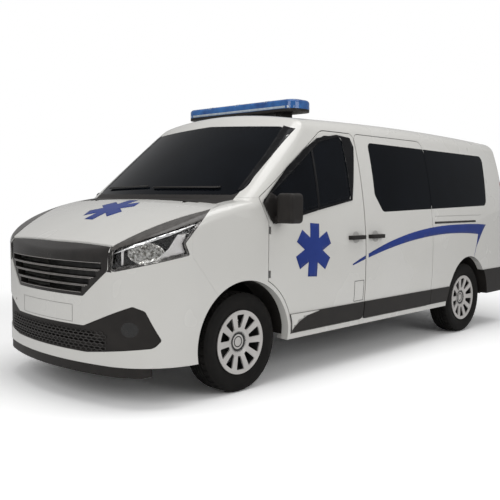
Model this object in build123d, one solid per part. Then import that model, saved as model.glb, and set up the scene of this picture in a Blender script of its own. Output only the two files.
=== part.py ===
from build123d import *
import math
import os

# Panel-van ambulance, in millimetres: +X forward, +Y to the vehicle's left, +Z up,
# with the origin on the ground under the middle of its length.

# Overall sizes
LENGTH = 4999.0
WIDTH = 1956.0
ROOF_Z = 1971.0
WHEELBASE = 3098.0
FRONT_OVERHANG = 933.0
HALF_LENGTH = LENGTH / 2
HALF_WIDTH = WIDTH / 2
FRONT_AXLE_X = HALF_LENGTH - FRONT_OVERHANG
REAR_AXLE_X = FRONT_AXLE_X - WHEELBASE

# Wall thicknesses, measured inwards from the outer skin
GLASS_T = 6.0
BONNET_T = 30.0
DOOR_T = 54.0
WALL_T = 60.0
FLANGE_T = 45.0
CLADDING_T = 8.0

# Curves of the body shell
UNDER_Z = 180.0
BELT_Z = 760.0
UPPER_SIDE_R = 3660.0
LOWER_SIDE_R = 2930.0
ROOF_CROWN_R = 4600.0
ROOF_EDGE_R = 140.0
ROOF_LENGTH_R = 40000.0
ROOF_CREST_X = -500.0
ROOF_SWEEP = 4.6
PLAN_SIDE_R = 60000.0
PLAN_CREST_X = -300.0
NOSE_R = 2100.0
NOSE_CORNER_R = 480.0
TAIL_R = 12000.0
TAIL_LOW_SETBACK = 25.0
TAIL_LOW_Z = 640.0
TAIL_TOP_SETBACK = 115.0
TAIL_TOP_Z = 1900.0
TAIL_EDGE_R = 110.0
SCREEN_R = 3500.0
SCREEN_BASE_SETBACK = 810.0
SCREEN_BASE_Z = 1290.0
SCREEN_TOP_SETBACK = 1490.0
SCREEN_TOP_Z = 1855.0
SCREEN_EDGE_R = 100.0
BONNET_LEAD_SETBACK = 95.0
BONNET_LEAD_Z = 1010.0
BONNET_R = 2100.0
BONNET_CROWN_R = 12000.0
BONNET_EDGE_R = 70.0

# Panel outlines in the side view; places are set back from the nose or taken from the axles
SILL_Z = 300.0
FLOOR_Z = 500.0
FLOOR_T = 40.0
SEAM = 6.0
GROOVE_W = 5.0
GROOVE_DEPTH = 12.0
FRONT_ARCH_R = 418.0
REAR_ARCH_R = 408.0
ARCH_STRIP = 28.0
LINER_T = 6.0
DOOR_FRONT_X = FRONT_AXLE_X - 205.0
DOOR_REAR_X = DOOR_FRONT_X - 1125.0
SLIDE_REAR_X = DOOR_REAR_X - 1048.0
DOOR_BOTTOM_Z = 340.0
DOOR_TOP_Z = 1812.0
PILLAR_FOOT_Z = 1300.0
DOOR_CORNER_Z = 1140.0
DOOR_CORNER_LEAD = 75.0
FRAME_LAP = 40.0
GLASS_LAP = 28.0
ROOF_SEAM_Y = 690.0

# Running gear
TYRE_R = 336.0
TYRE_W = 205.0
RIM_R = 203.0
FRONT_TRACK = 1615.0
REAR_TRACK = 1628.0
SPINDLE_R = 30.0
RUNNING_FIT = 0.05
SEAT_GAP = 0.3


def side_prism(face, y_in, y_out):
    """Stretch an outline drawn in the side view, X across and Z up, from y_in out to y_out."""
    plane = Plane((0, y_in, 0), x_dir=(1, 0, 0), z_dir=(0, -1, 0))
    return extrude(plane * face, y_out - y_in, dir=(0, 1, 0))


def front_prism(face, x_rear, x_front):
    """Stretch an outline drawn in the front view, Y across and Z up, from x_rear to x_front."""
    plane = Plane((x_rear, 0, 0), x_dir=(0, 1, 0), z_dir=(1, 0, 0))
    return extrude(plane * face, x_front - x_rear, dir=(1, 0, 0))


def plan_prism(face, z_low, z_high):
    """Stretch an outline drawn in the plan view, X and Y, from z_low up to z_high."""
    return extrude(Plane((0, 0, z_low)) * face, z_high - z_low, dir=(0, 0, 1))


def box_between(x, y, z):
    """Box between pairs of limits along X, Y and Z."""
    centre = Pos((x[0] + x[1]) / 2, (y[0] + y[1]) / 2, (z[0] + z[1]) / 2)
    return centre * Box(x[1] - x[0], y[1] - y[0], z[1] - z[0])


def barrel(inset):
    """Sides and roof: one cross-section of arcs, swept gently fore and aft about the roof's crest."""
    def sides(radius):
        left = Pos(HALF_WIDTH - radius, BELT_Z) * Circle(radius - inset)
        right = Pos(radius - HALF_WIDTH, BELT_Z) * Circle(radius - inset)
        return left & right
    reach = 2 * WIDTH
    crown = Pos(0, ROOF_Z - ROOF_CROWN_R) * Circle(ROOF_CROWN_R - inset)
    upper = sides(UPPER_SIDE_R) & crown & (Pos(0, BELT_Z + reach / 2) * Rectangle(reach, reach))
    shoulders = upper.vertices().sort_by(Axis.Y)[-2:]
    upper = fillet(shoulders, ROOF_EDGE_R - inset)
    lower = sides(LOWER_SIDE_R) & (Pos(0, BELT_Z / 2) * Rectangle(reach, BELT_Z))
    section = Plane((ROOF_CREST_X, 0, 0), x_dir=(0, 1, 0), z_dir=(1, 0, 0)) * (upper + lower)
    axis = Axis((ROOF_CREST_X, 0, ROOF_Z - ROOF_LENGTH_R), (0, 1, 0))
    return revolve(section.rotate(axis, -ROOF_SWEEP), axis, 2 * ROOF_SWEEP)


def plan_form(inset):
    """Plan view of the body: slightly bowed sides and a round nose with round corners."""
    nose = Pos(HALF_LENGTH - NOSE_R, 0) * Circle(NOSE_R - inset)
    length = LENGTH + NOSE_R
    trunk = Pos(HALF_LENGTH - NOSE_R * 0.8 - length / 2, 0) * Rectangle(length, 2 * WIDTH)
    left = Pos(PLAN_CREST_X, HALF_WIDTH - PLAN_SIDE_R) * Circle(PLAN_SIDE_R - inset)
    right = Pos(PLAN_CREST_X, PLAN_SIDE_R - HALF_WIDTH) * Circle(PLAN_SIDE_R - inset)
    face = (nose + trunk) & left & right & Rectangle(LENGTH + NOSE_R, 2 * WIDTH)
    corners = [v for v in face.vertices() if v.X > FRONT_AXLE_X]
    face = fillet(corners, NOSE_CORNER_R - inset)
    return plan_prism(face, UNDER_Z, ROOF_Z + NOSE_R)


def slope_cylinder(low, high, radius, inset, facing):
    """Cylinder of a large radius whose outermost line runs from low to high in the side view."""
    along = Vector(high[0] - low[0], 0, high[1] - low[1]).normalized()
    out = Vector(along.Z, 0, -along.X) * facing
    base = Vector(low[0], 0, low[1]) - out * radius - along * LENGTH
    plane = Plane(origin=base, x_dir=(0, 1, 0), z_dir=along)
    return extrude(plane * Circle(radius - inset), 3 * LENGTH, dir=along)


def bonnet_form(inset):
    """Bonnet surface: a crowned arc turned about a cross axis well below it."""
    rise = Vector(SCREEN_BASE[0] - BONNET_LEAD[0], 0, SCREEN_BASE[1] - BONNET_LEAD[1])
    middle = Vector(BONNET_LEAD[0], 0, BONNET_LEAD[1]) + rise * 0.5
    normal = Vector(rise.Z, 0, -rise.X).normalized()
    depth = math.sqrt(BONNET_R**2 - (rise.length / 2) ** 2)
    centre = middle - normal * depth
    profile = Pos(BONNET_R - BONNET_CROWN_R, 0) * Circle(BONNET_CROWN_R - inset)
    profile = profile & (Pos(BONNET_R, 0) * Rectangle(2 * BONNET_R, 1.2 * WIDTH))
    plane = Plane(origin=centre, x_dir=(1, 0, 0), z_dir=(0, 0, -1))
    return revolve(plane * profile, Axis(centre, (0, 1, 0)), 360)


SCREEN_BASE = (HALF_LENGTH - SCREEN_BASE_SETBACK, SCREEN_BASE_Z)
SCREEN_TOP = (HALF_LENGTH - SCREEN_TOP_SETBACK, SCREEN_TOP_Z)
BONNET_LEAD = (HALF_LENGTH - BONNET_LEAD_SETBACK, BONNET_LEAD_Z)
TAIL_LOW = (-HALF_LENGTH + TAIL_LOW_SETBACK, TAIL_LOW_Z)
TAIL_TOP = (-HALF_LENGTH + TAIL_TOP_SETBACK, TAIL_TOP_Z)


def soften(body, near, keep, radius):
    """Round the chosen edges of the face nearest to a point of the side view."""
    face = body.faces().sort_by_distance((near[0], 0, near[1]))[0]
    return fillet([e for e in face.edges() if keep(e.center())], radius)


def midway(low, high, lift=0.0):
    """Point of the side view halfway between two others."""
    return ((low[0] + high[0]) / 2, (low[1] + high[1]) / 2 + lift)


def envelope(inset, rounded=False):
    """Whole body as one solid with its skin moved in by inset; the outer skins have rounded edges."""
    rear_of_nose = FRONT_AXLE_X - WIDTH / 4
    trunk = barrel(inset) & plan_form(inset)
    trunk = trunk & slope_cylinder(TAIL_LOW, TAIL_TOP, TAIL_R, inset, -1)
    if rounded:
        tail = midway(TAIL_LOW, TAIL_TOP)
        trunk = soften(trunk, tail, lambda c: c.Z > UNDER_Z + 1, TAIL_EDGE_R - inset)
    ahead = box_between((0, 2 * LENGTH), (-WIDTH, WIDTH), (-LENGTH, LENGTH))
    cabin = trunk - (ahead - slope_cylinder(SCREEN_BASE, SCREEN_TOP, SCREEN_R, inset, 1))
    front = box_between((rear_of_nose, LENGTH), (-WIDTH, WIDTH), (0, SCREEN_TOP_Z))
    nose = (trunk & front) & bonnet_form(inset)
    if rounded:
        lid = midway(SCREEN_BASE, BONNET_LEAD, WALL_T / 2)
        nose = soften(nose, lid, lambda c: c.X > rear_of_nose + 1, BONNET_EDGE_R - inset)
        screen = midway(SCREEN_BASE, SCREEN_TOP)
        cabin = soften(cabin, screen, lambda c: c.Z > SCREEN_BASE_Z / 2, SCREEN_EDGE_R - inset)
    return cabin + nose


def outline(rows, grow=0.0):
    """Closed outline from rows of (across, up, corner radius), made larger or smaller by grow."""
    face = Polygon(*[(across, up) for across, up, radius in rows], align=None)
    for across, up, radius in rows:
        if radius:
            corner = face.vertices().sort_by_distance((across, up, 0))[0]
            face = fillet(corner, radius)
    return resize(face, grow)


def resize(face, grow):
    """Outline moved out or in by grow, with its corners kept."""
    return offset(face, grow, kind=Kind.INTERSECTION) if grow else face


def mirrored(rows):
    """Symmetric outline from the rows of its left half, which run from bottom to top."""
    return rows + [(-across, up, radius) for across, up, radius in reversed(rows)]


def disc(x, z, radius):
    """Round outline in the side view."""
    return Pos(x, z) * Circle(radius)


def both_sides(solid):
    """A left-hand piece with its mirror image."""
    return [solid, mirror(solid, about=Plane.XZ)]


def across_cylinder(x, z, radius, y_in, y_out):
    """Cylinder whose axis runs across the vehicle."""
    return side_prism(disc(x, z, radius), y_in, y_out)


def corner_prism(rows, grow=0.0):
    """Prism that looks squarely at the left front corner, from rows of (setback, y, z, radius)."""
    flat = [((y - (HALF_LENGTH - setback)) / math.sqrt(2), z, radius) for setback, y, z, radius in rows]
    plane = Plane((0, 0, 0), x_dir=(-1, 1, 0), z_dir=(1, 1, 0))
    return extrude(plane * outline(flat, grow), LENGTH, dir=(1, 1, 0))


def tail_x(z):
    """Foremost line of the tail in the side view."""
    share = (z - TAIL_LOW[1]) / (TAIL_TOP[1] - TAIL_LOW[1])
    return TAIL_LOW[0] + share * (TAIL_TOP[0] - TAIL_LOW[0])


def side_y(x):
    """Widest half-width of the body at x."""
    return HALF_WIDTH - (x - PLAN_CREST_X) ** 2 / (2 * PLAN_SIDE_R)


nodes = {}


def keep(name, *solids):
    """File the solids of one piece under its name."""
    nodes[name] = [solid for shape in solids for solid in shape.solids()]


AXLE_Z = TYRE_R
LEFT = box_between((-LENGTH, LENGTH), (0, WIDTH), (0, 2 * ROOF_Z))

skin = envelope(0, rounded=True)
proud_skin = envelope(-CLADDING_T, rounded=True)
under_glass = envelope(GLASS_T, rounded=True)
under_bonnet = envelope(BONNET_T)
door_inside = envelope(DOOR_T)
wall_inside = envelope(WALL_T)
frame_inside = envelope(WALL_T + FLANGE_T)

wall = skin - wall_inside
left_wall = wall & LEFT
glass_layer = skin - under_glass
left_glass_layer = glass_layer & LEFT
left_door_layer = (skin - door_inside) & LEFT

# Side view outlines, rows of (x, z, corner radius)
FRONT_DOOR = [
    (DOOR_REAR_X, DOOR_BOTTOM_Z, 40),
    (DOOR_FRONT_X, DOOR_BOTTOM_Z, 0),
    (DOOR_FRONT_X, DOOR_CORNER_Z, 60),
    (DOOR_FRONT_X + DOOR_CORNER_LEAD, PILLAR_FOOT_Z, 24),
    (DOOR_FRONT_X - 712, DOOR_TOP_Z, 160),
    (DOOR_REAR_X, DOOR_TOP_Z, 60),
]
DOOR_WINDOW = [
    (DOOR_FRONT_X - 42, 1140, 30),
    (DOOR_FRONT_X + 32, 1284, 14),
    (DOOR_FRONT_X - 735, 1772, 90),
    (DOOR_REAR_X + 165, 1772, 50),
    (DOOR_REAR_X + 165, 1292, 45),
]
SLIDING_DOOR = [
    (SLIDE_REAR_X, DOOR_BOTTOM_Z, 50),
    (DOOR_REAR_X, DOOR_BOTTOM_Z, 40),
    (DOOR_REAR_X, DOOR_TOP_Z, 60),
    (SLIDE_REAR_X, DOOR_TOP_Z, 90),
]
SIDE_WINDOW = [
    (DOOR_REAR_X - 176, 1750, 50),
    (DOOR_REAR_X - 166, 1330, 60),
    (DOOR_REAR_X - 266, 1190, 60),
    (REAR_AXLE_X - 370, 1235, 70),
    (REAR_AXLE_X - 440, 1730, 60),
]

front_arch = disc(FRONT_AXLE_X, AXLE_Z, FRONT_ARCH_R)
rear_arch = disc(REAR_AXLE_X, AXLE_Z, REAR_ARCH_R)
arch_strip = disc(FRONT_AXLE_X, AXLE_Z, FRONT_ARCH_R + ARCH_STRIP)
door_face = outline(FRONT_DOOR) - arch_strip
slide_face = outline(SLIDING_DOOR)
OUTER_Y = WIDTH
INNER_Y = 640.0


def from_side(face):
    """Prism through the left wall from an outline of the side view."""
    return side_prism(face, INNER_Y, OUTER_Y)


arch_cut = from_side(front_arch + rear_arch)

# Windscreen, bonded into the frame of roof, pillars and scuttle; rows of (y, z, corner radius)
SCREEN = [(835, 1318, 70), (735, 1822, 90), (0, 1858, 0)]
screen_rows = SCREEN + [(-y, z, r) for y, z, r in reversed(SCREEN[:2])]
SCREEN_ZONE = (SCREEN_TOP[0] - 300, SCREEN_BASE[0] + 30)
windscreen = glass_layer & front_prism(outline(screen_rows), *SCREEN_ZONE)
screen_hole = front_prism(outline(screen_rows, -GLASS_LAP), *SCREEN_ZONE)
keep("windscreen", windscreen)

# Bonnet, hinged at its rear edge; rows of (setback, half-width) from the lead to the rear corner
BONNET_PLAN = [(BONNET_LEAD_SETBACK, 0), (112, 617), (640, 868), (700, 880), (782, 850), (787, 0)]
bonnet_face = outline(
    [(HALF_LENGTH - s, y, 0) for s, y in BONNET_PLAN]
    + [(HALF_LENGTH - s, -y, 0) for s, y in reversed(BONNET_PLAN[1:-1])]
)
BONNET_ZONE = (BONNET_LEAD_Z - 45, SCREEN_TOP_Z)
bonnet_cut = plan_prism(bonnet_face, *BONNET_ZONE)
BONNET_REAR_GAP = 16.0
bonnet = (skin - under_bonnet) & plan_prism(resize(bonnet_face, -SEAM), *BONNET_ZONE)
SCUTTLE_FRONT_X = HALF_LENGTH - BONNET_PLAN[-1][0]
bonnet = bonnet - box_between((0, SCUTTLE_FRONT_X + BONNET_REAR_GAP), (-WIDTH, WIDTH), (0, LENGTH))

# Headlamps at the front corners; rows of (setback, y, z, corner radius)
HEADLAMP = [
    (92, 607, 840, 25),
    (468, 918, 945, 12),
    (434, 915, 1020, 12),
    (570, 925, 1166, 40),
    (715, 905, 1300, 10),
    (112, 617, 1085, 10),
]
NOSE_ZONE = (FRONT_AXLE_X + FRONT_ARCH_R, LENGTH)
GRILLE = [(395, 682, 30), (592, 850, 40), (606, 1060, 0)]
grille_zone = front_prism(outline(mirrored(GRILLE)), *NOSE_ZONE)
LAMP_ZONE = box_between((HALF_LENGTH - 735, LENGTH), (0, WIDTH), (0, ROOF_Z))
LAMP_BACK = 15.0
headlamp_prism = corner_prism(HEADLAMP) & LAMP_ZONE
headlamp = (left_wall & headlamp_prism) - bonnet_cut - grille_zone
headlamp_lens = headlamp & left_glass_layer
bowl = (corner_prism(HEADLAMP, -LAMP_BACK) & (under_glass - under_bonnet) & LAMP_ZONE) - bonnet_cut
headlamp_body = max(((headlamp - left_glass_layer) - bowl).solids(), key=lambda solid: solid.volume)

# Front bumper and what it holds; the grille and insert rows are (y, z, corner radius)
BUMPER_LIP_Z = 262.0
BUMPER_SEAM = [(750, 600), (476, 933)]
INSERT = [(420, 332, 20), (835, 384, 40), (862, 430, 30), (800, 612, 30), (742, 640, 25), (400, 498, 40)]
GRILLE_SLOTS = [(706, 742, 380), (756, 792, 440), (806, 842, 500), (856, 892, 540)]
INSERT_SLOTS = [(350, 380, 560), (394, 424, 560), (438, 468, 480)]
FOG_LAMP = (720.0, 496.0, 46.0)
UNDER_LIP_Z = 198.0
UNDER_LIP_Y = 780.0
bumper_face = outline(
    [(HALF_LENGTH - s, z, 0) for s, z in BUMPER_SEAM]
    + [(HALF_LENGTH - BUMPER_SEAM[-1][0], ROOF_Z, 0), (LENGTH, ROOF_Z, 0), (LENGTH, BUMPER_LIP_Z, 0)]
    + [(HALF_LENGTH - BUMPER_SEAM[0][0], BUMPER_LIP_Z, 0)]
)
bumper_prism = side_prism(bumper_face, -WIDTH, WIDTH)
insert_zone = front_prism(outline(mirrored(INSERT)), *NOSE_ZONE)
front_bumper = (wall & bumper_prism) - grille_zone - insert_zone - bonnet_cut
for arch in both_sides(from_side(front_arch)) + both_sides(headlamp_prism):
    front_bumper = front_bumper - arch
front_bumper = max(front_bumper.solids(), key=lambda solid: solid.volume)

TOW_SOCKET_R = 10.0
TOW_SOCKET_Y = -470.0
TOW_SOCKET_Z = 575.0
tow_bore = Pos(HALF_LENGTH, TOW_SOCKET_Y, TOW_SOCKET_Z) * Rot(0, 90, 0) * Cylinder(TOW_SOCKET_R, LENGTH / 8)
keep("front_bumper", front_bumper - tow_bore)

grille = (under_glass - wall_inside) & grille_zone
grille = grille - bonnet_cut
for z_low, z_high, half in GRILLE_SLOTS:
    grille = grille - box_between((0, LENGTH), (-half, half), (z_low, z_high))
keep("radiator_grille", grille)

insert = (under_glass - wall_inside) & insert_zone
for z_low, z_high, half in INSERT_SLOTS:
    insert = insert - box_between((0, LENGTH), (-half, half), (z_low, z_high))
fog_y, fog_z, fog_r = FOG_LAMP
fog_bore = front_prism(Pos(fog_y, fog_z) * Circle(fog_r), *NOSE_ZONE)
fog_zone = (under_glass - wall_inside) & LEFT
fog_lamp = fog_zone & front_prism(Pos(fog_y, fog_z) * Circle(fog_r), *NOSE_ZONE)
for bore in both_sides(fog_bore):
    insert = insert - bore
lip = (under_glass - wall_inside) & box_between(NOSE_ZONE, (-UNDER_LIP_Y, UNDER_LIP_Y), (UNDER_LIP_Z, BUMPER_LIP_Z))
keep("bumper_insert", insert, lip)
keep("front_lamps", *both_sides(headlamp_body), *both_sides(fog_lamp))
keep("headlamp_lenses", *both_sides(headlamp_lens))

# Scuttle between the bonnet's rear edge and the windscreen
SCUTTLE_HALF = 800.0
SCUTTLE_DEPTH = 240.0
scuttle_zone = box_between(
    (SCUTTLE_FRONT_X - SCUTTLE_DEPTH, SCUTTLE_FRONT_X),
    (-SCUTTLE_HALF, SCUTTLE_HALF),
    (SCREEN_BASE_Z - SCUTTLE_DEPTH, SCREEN[0][1] + GLASS_LAP + SEAM),
)
scuttle = (wall & scuttle_zone) - bonnet_cut - screen_hole - windscreen
keep("scuttle_panel", max(scuttle.solids(), key=lambda solid: solid.volume))

# Front wings
wing_face = Pos(DOOR_FRONT_X + LENGTH / 2, (SILL_Z + PILLAR_FOOT_Z) / 2) * Rectangle(LENGTH, PILLAR_FOOT_Z - SILL_Z)
strip_face = arch_strip & (Pos(DOOR_FRONT_X - WIDTH / 2, SILL_Z + WIDTH / 2) * Rectangle(WIDTH, WIDTH))
wing_face = wing_face + strip_face - door_face - front_arch
wing = (left_wall & from_side(wing_face)) - bumper_prism - headlamp_prism - bonnet_cut - scuttle_zone
wing = max(wing.solids(), key=lambda solid: solid.volume)
keep("front_wings", *both_sides(wing))

# Tailgate, hinged at its top edge; rows of (y, z, corner radius)
BUMPER_TOP_Z = 590.0
REAR_BUMPER_LOW_Z = 345.0
TAILGATE_TOP_Z = 1830.0
TAIL_SEAM = 8.0
TAILGATE = [(770, BUMPER_TOP_Z + 8, 40), (770, 1400, 200), (700, TAILGATE_TOP_Z, 110)]
TAIL_WINDOW = [(600, 1195, 60), (575, 1745, 70)]
TAIL_ZONE = (-LENGTH, tail_x(TAILGATE_TOP_Z) + 2 * WALL_T)
tailgate_face = outline(mirrored(TAILGATE))
tailgate_cut = front_prism(tailgate_face, *TAIL_ZONE)
tailgate_glass = glass_layer & front_prism(outline(mirrored(TAIL_WINDOW)), *TAIL_ZONE)
tailgate = (skin - door_inside) & front_prism(resize(tailgate_face, -TAIL_SEAM), *TAIL_ZONE)
tailgate = tailgate - tailgate_glass - front_prism(outline(mirrored(TAIL_WINDOW), -GLASS_LAP), *TAIL_ZONE)

rear_zone = box_between(
    (-HALF_LENGTH, REAR_AXLE_X), (-WIDTH, WIDTH), (REAR_BUMPER_LOW_Z, BUMPER_TOP_Z)
)
rear_bumper = (proud_skin - wall_inside) & rear_zone
for arch in both_sides(from_side(rear_arch)):
    rear_bumper = rear_bumper - arch
keep("rear_bumper", rear_bumper)

# Tail lamps round the rear corners, seen squarely from the corner
LAMP_LOW_Z = 930.0
LAMP_HIGH_Z = 1490.0
LAMP_SPAN = (975.0, 1135.0)
lamp_rows = [
    (LAMP_SPAN[0], LAMP_LOW_Z, 25),
    (LAMP_SPAN[1], LAMP_LOW_Z, 25),
    (LAMP_SPAN[1], LAMP_HIGH_Z, 25),
    (LAMP_SPAN[0], LAMP_HIGH_Z, 40),
]
lamp_plane = Plane((0, 0, 0), x_dir=(-1, -1, 0), z_dir=(-1, 1, 0))
lamp_prism = extrude(lamp_plane * outline(lamp_rows), LENGTH, dir=(-1, 1, 0))
tail_lamp = ((skin - under_bonnet) & lamp_prism) - tailgate_cut
keep("tail_lamps", *both_sides(tail_lamp))

# Body sides, roof and the frames inside the door openings
body_face = Pos(0, SILL_Z + LENGTH / 2) * Rectangle(2 * LENGTH, LENGTH)
body_face = body_face - wing_face - door_face - slide_face - front_arch - rear_arch
behind = Pos(REAR_AXLE_X - LENGTH / 2, BUMPER_TOP_Z - LENGTH / 2) * Rectangle(LENGTH, LENGTH)
body_face = body_face - behind
roof_zone = box_between((-LENGTH, LENGTH), (-ROOF_SEAM_Y, ROOF_SEAM_Y), (TAILGATE_TOP_Z - 130, 2 * ROOF_Z))
window_face = outline(SIDE_WINDOW)
side_glass = left_glass_layer & from_side(window_face)
seam_strip = from_side(Pos(SLIDE_REAR_X, BELT_Z) * Rectangle(SEAM, LENGTH))
side_glass = side_glass - seam_strip
window_hole = from_side(outline(SIDE_WINDOW, -GLASS_LAP))
ahead_of_pillar = from_side(Pos(DOOR_FRONT_X + LENGTH / 2, PILLAR_FOOT_Z - LENGTH / 2) * Rectangle(LENGTH, LENGTH))
side = (left_wall & from_side(body_face)) - roof_zone - screen_hole - windscreen - tailgate_cut
side = side - ahead_of_pillar - tail_lamp
side = side - scuttle_zone - window_hole - side_glass
side = max(side.solids(), key=lambda solid: solid.volume)
keep("left_body_side", side)
keep("right_body_side", mirror(side, about=Plane.XZ))
roof = (wall & roof_zone) - screen_hole - windscreen - tailgate_cut - scuttle_zone
keep("roof_panel", max(roof.solids(), key=lambda solid: solid.volume))
keep("side_windows", *both_sides(side_glass))

# Hinge line of the front doors; the corner of a door ahead of it swings inwards past the frame
PIN_R = 5.0
HINGE_SETBACK = 16.0
HINGE_X = DOOR_FRONT_X - HINGE_SETBACK
HINGE_Y = side_y(HINGE_X) - PIN_R
SWING_R = math.hypot(DOOR_CORNER_LEAD + HINGE_SETBACK, 2 * DOOR_T)
SWING_Z = (DOOR_CORNER_Z - 2 * FRAME_LAP, PILLAR_FOOT_Z + 2 * FRAME_LAP)
swing = Pos(HINGE_X, HINGE_Y, sum(SWING_Z) / 2) * Cylinder(SWING_R, SWING_Z[1] - SWING_Z[0])

frame_face = resize(outline(FRONT_DOOR), FRAME_LAP) + resize(slide_face, FRAME_LAP)
above_floor = Pos(0, FLOOR_Z + LENGTH / 2) * Rectangle(2 * LENGTH, LENGTH)
for hole in (resize(door_face, -FRAME_LAP), resize(slide_face, -FRAME_LAP)):
    frame_face = frame_face - (hole & above_floor)
frame_face = frame_face - disc(FRONT_AXLE_X, AXLE_Z, FRONT_ARCH_R + LINER_T + SEAM)
frame_face = frame_face & (Pos(0, SILL_Z + LENGTH / 2) * Rectangle(2 * LENGTH, LENGTH))
frame = ((wall_inside - frame_inside) & LEFT) & from_side(frame_face)
frame = max((frame - screen_hole - swing).solids(), key=lambda solid: solid.volume)
keep("door_frames", *both_sides(frame))

# Sliding doors, shown closed, with a groove all round in their outer skin
slide = left_wall & from_side(slide_face)
groove = (slide_face - resize(slide_face, -GROOVE_W))
groove_layer = (skin - under_bonnet) & from_side(groove)
slide = slide - groove_layer - side_glass - window_hole
keep("sliding_doors", *both_sides(slide))

# Front doors, with their glass, lower cladding, handles and mirrors
door = left_door_layer & from_side(resize(door_face, -SEAM))
door_glass = left_glass_layer & from_side(outline(DOOR_WINDOW))
door = door - door_glass - from_side(outline(DOOR_WINDOW, -GLASS_LAP))

CLADDING_LOW_Z = 346.0
CLADDING_TOP_Z = 482.0
cladding_layer = (proud_skin - skin) & LEFT
cladding_band = Pos(0, (CLADDING_LOW_Z + CLADDING_TOP_Z) / 2) * Rectangle(LENGTH, CLADDING_TOP_Z - CLADDING_LOW_Z)
door_cladding = cladding_layer & from_side(resize(door_face, -SEAM) & cladding_band)


def span(x_rear, x_front):
    """Stretch of the cladding band between two places along the side."""
    return cladding_band & (Pos((x_rear + x_front) / 2, 0) * Rectangle(x_front - x_rear, LENGTH))


slide_cladding = cladding_layer & from_side(span(SLIDE_REAR_X + GROOVE_W, DOOR_REAR_X - GROOVE_W))
quarter_face = span(REAR_AXLE_X, SLIDE_REAR_X) - rear_arch
quarter_cladding = cladding_layer & from_side(quarter_face)

HANDLE_L = 190.0
HANDLE_H = 30.0
HANDLE_PROUD = 34.0
HANDLE_Z = 998.0
HANDLE_GAP = 38.0


def handle(x_rear):
    """Bar handle that stands on the outer skin."""
    top = HALF_WIDTH + HANDLE_PROUD
    block = box_between((x_rear, x_rear + HANDLE_L), (INNER_Y, top), (HANDLE_Z - HANDLE_H / 2, HANDLE_Z + HANDLE_H / 2))
    block = fillet(block.edges().filter_by(Axis.Z).sort_by(Axis.Y)[-2:], HANDLE_PROUD * 0.7)
    return block - skin


door_handle = handle(DOOR_REAR_X + HANDLE_GAP)
slide_handle = handle(DOOR_REAR_X - HANDLE_GAP - HANDLE_L)
keep("body_cladding", *both_sides(slide_cladding), *both_sides(quarter_cladding), *both_sides(slide_handle))

# Door mirrors on a short arm over the sail of the front window
MIRROR_X = (DOOR_FRONT_X - 136, DOOR_FRONT_X - 28)
MIRROR_Y = (HALF_WIDTH + 10, 1141.5)
MIRROR_Z = (1128.0, 1332.0)
MIRROR_EDGE_R = 34.0
MIRROR_ARM_T = 46.0
mirror_shell = box_between(MIRROR_X, MIRROR_Y, MIRROR_Z)
mirror_shell = fillet(mirror_shell.edges().filter_by(Axis.X), MIRROR_EDGE_R)
mirror_shell = fillet(mirror_shell.faces().sort_by(Axis.X)[-1].edges(), MIRROR_EDGE_R * 0.8)
mirror_arm = box_between(
    (MIRROR_X[0] + MIRROR_ARM_T, MIRROR_X[0] + 2 * MIRROR_ARM_T),
    (INNER_Y, MIRROR_Y[0] + MIRROR_EDGE_R),
    (MIRROR_Z[0], MIRROR_Z[0] + MIRROR_ARM_T),
)
door_mirror = mirror_shell + (mirror_arm - skin)

# Hinges: pins on leaves that stand on the fixed panel's edge
PIN_L = 50.0
LEAF_T = 8.0
NOTCH = 10.0
HINGE_Z = (780.0, 1080.0)
hinges = []
for z in HINGE_Z:
    z_span = (z - PIN_L / 2, z + PIN_L / 2)
    notch_span = (z_span[0] - SEAT_GAP, z_span[1] + SEAT_GAP)
    pin = Pos(HINGE_X, HINGE_Y, z) * Cylinder(PIN_R, PIN_L)
    leaf = box_between((HINGE_X, DOOR_FRONT_X), (HINGE_Y - LEAF_T / 2, HINGE_Y + LEAF_T / 2), z_span)
    hinges += both_sides(pin + leaf)
    door = door - box_between((HINGE_X - NOTCH, DOOR_FRONT_X), (HINGE_Y - NOTCH, WIDTH), notch_span)
for name, flip in (("driver", False), ("passenger", True)):
    for piece, solids in (
        ("door", [door]),
        ("door_glass", [door_glass]),
        ("door_trim", [door_cladding, door_handle]),
        ("door_mirror", [door_mirror]),
    ):
        keep(name + "_" + piece, *[mirror(s, about=Plane.XZ) if flip else s for s in solids])

BONNET_PIN_Y = 520.0
BONNET_PIN_DROP = 10.0
bonnet_rise = Vector(SCREEN_BASE[0] - BONNET_LEAD[0], 0, SCREEN_BASE[1] - BONNET_LEAD[1])


def bonnet_height(x, y):
    """Height of the bonnet's skin at a place of the plan view."""
    middle = midway(SCREEN_BASE, BONNET_LEAD)
    depth = math.sqrt(BONNET_R**2 - (bonnet_rise.length / 2) ** 2)
    normal = Vector(bonnet_rise.Z, 0, -bonnet_rise.X).normalized()
    centre = Vector(middle[0], 0, middle[1]) - normal * depth
    reach = BONNET_R - BONNET_CROWN_R + math.sqrt(BONNET_CROWN_R**2 - y**2)
    return centre.Z + math.sqrt(reach**2 - (x - centre.X) ** 2)


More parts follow.
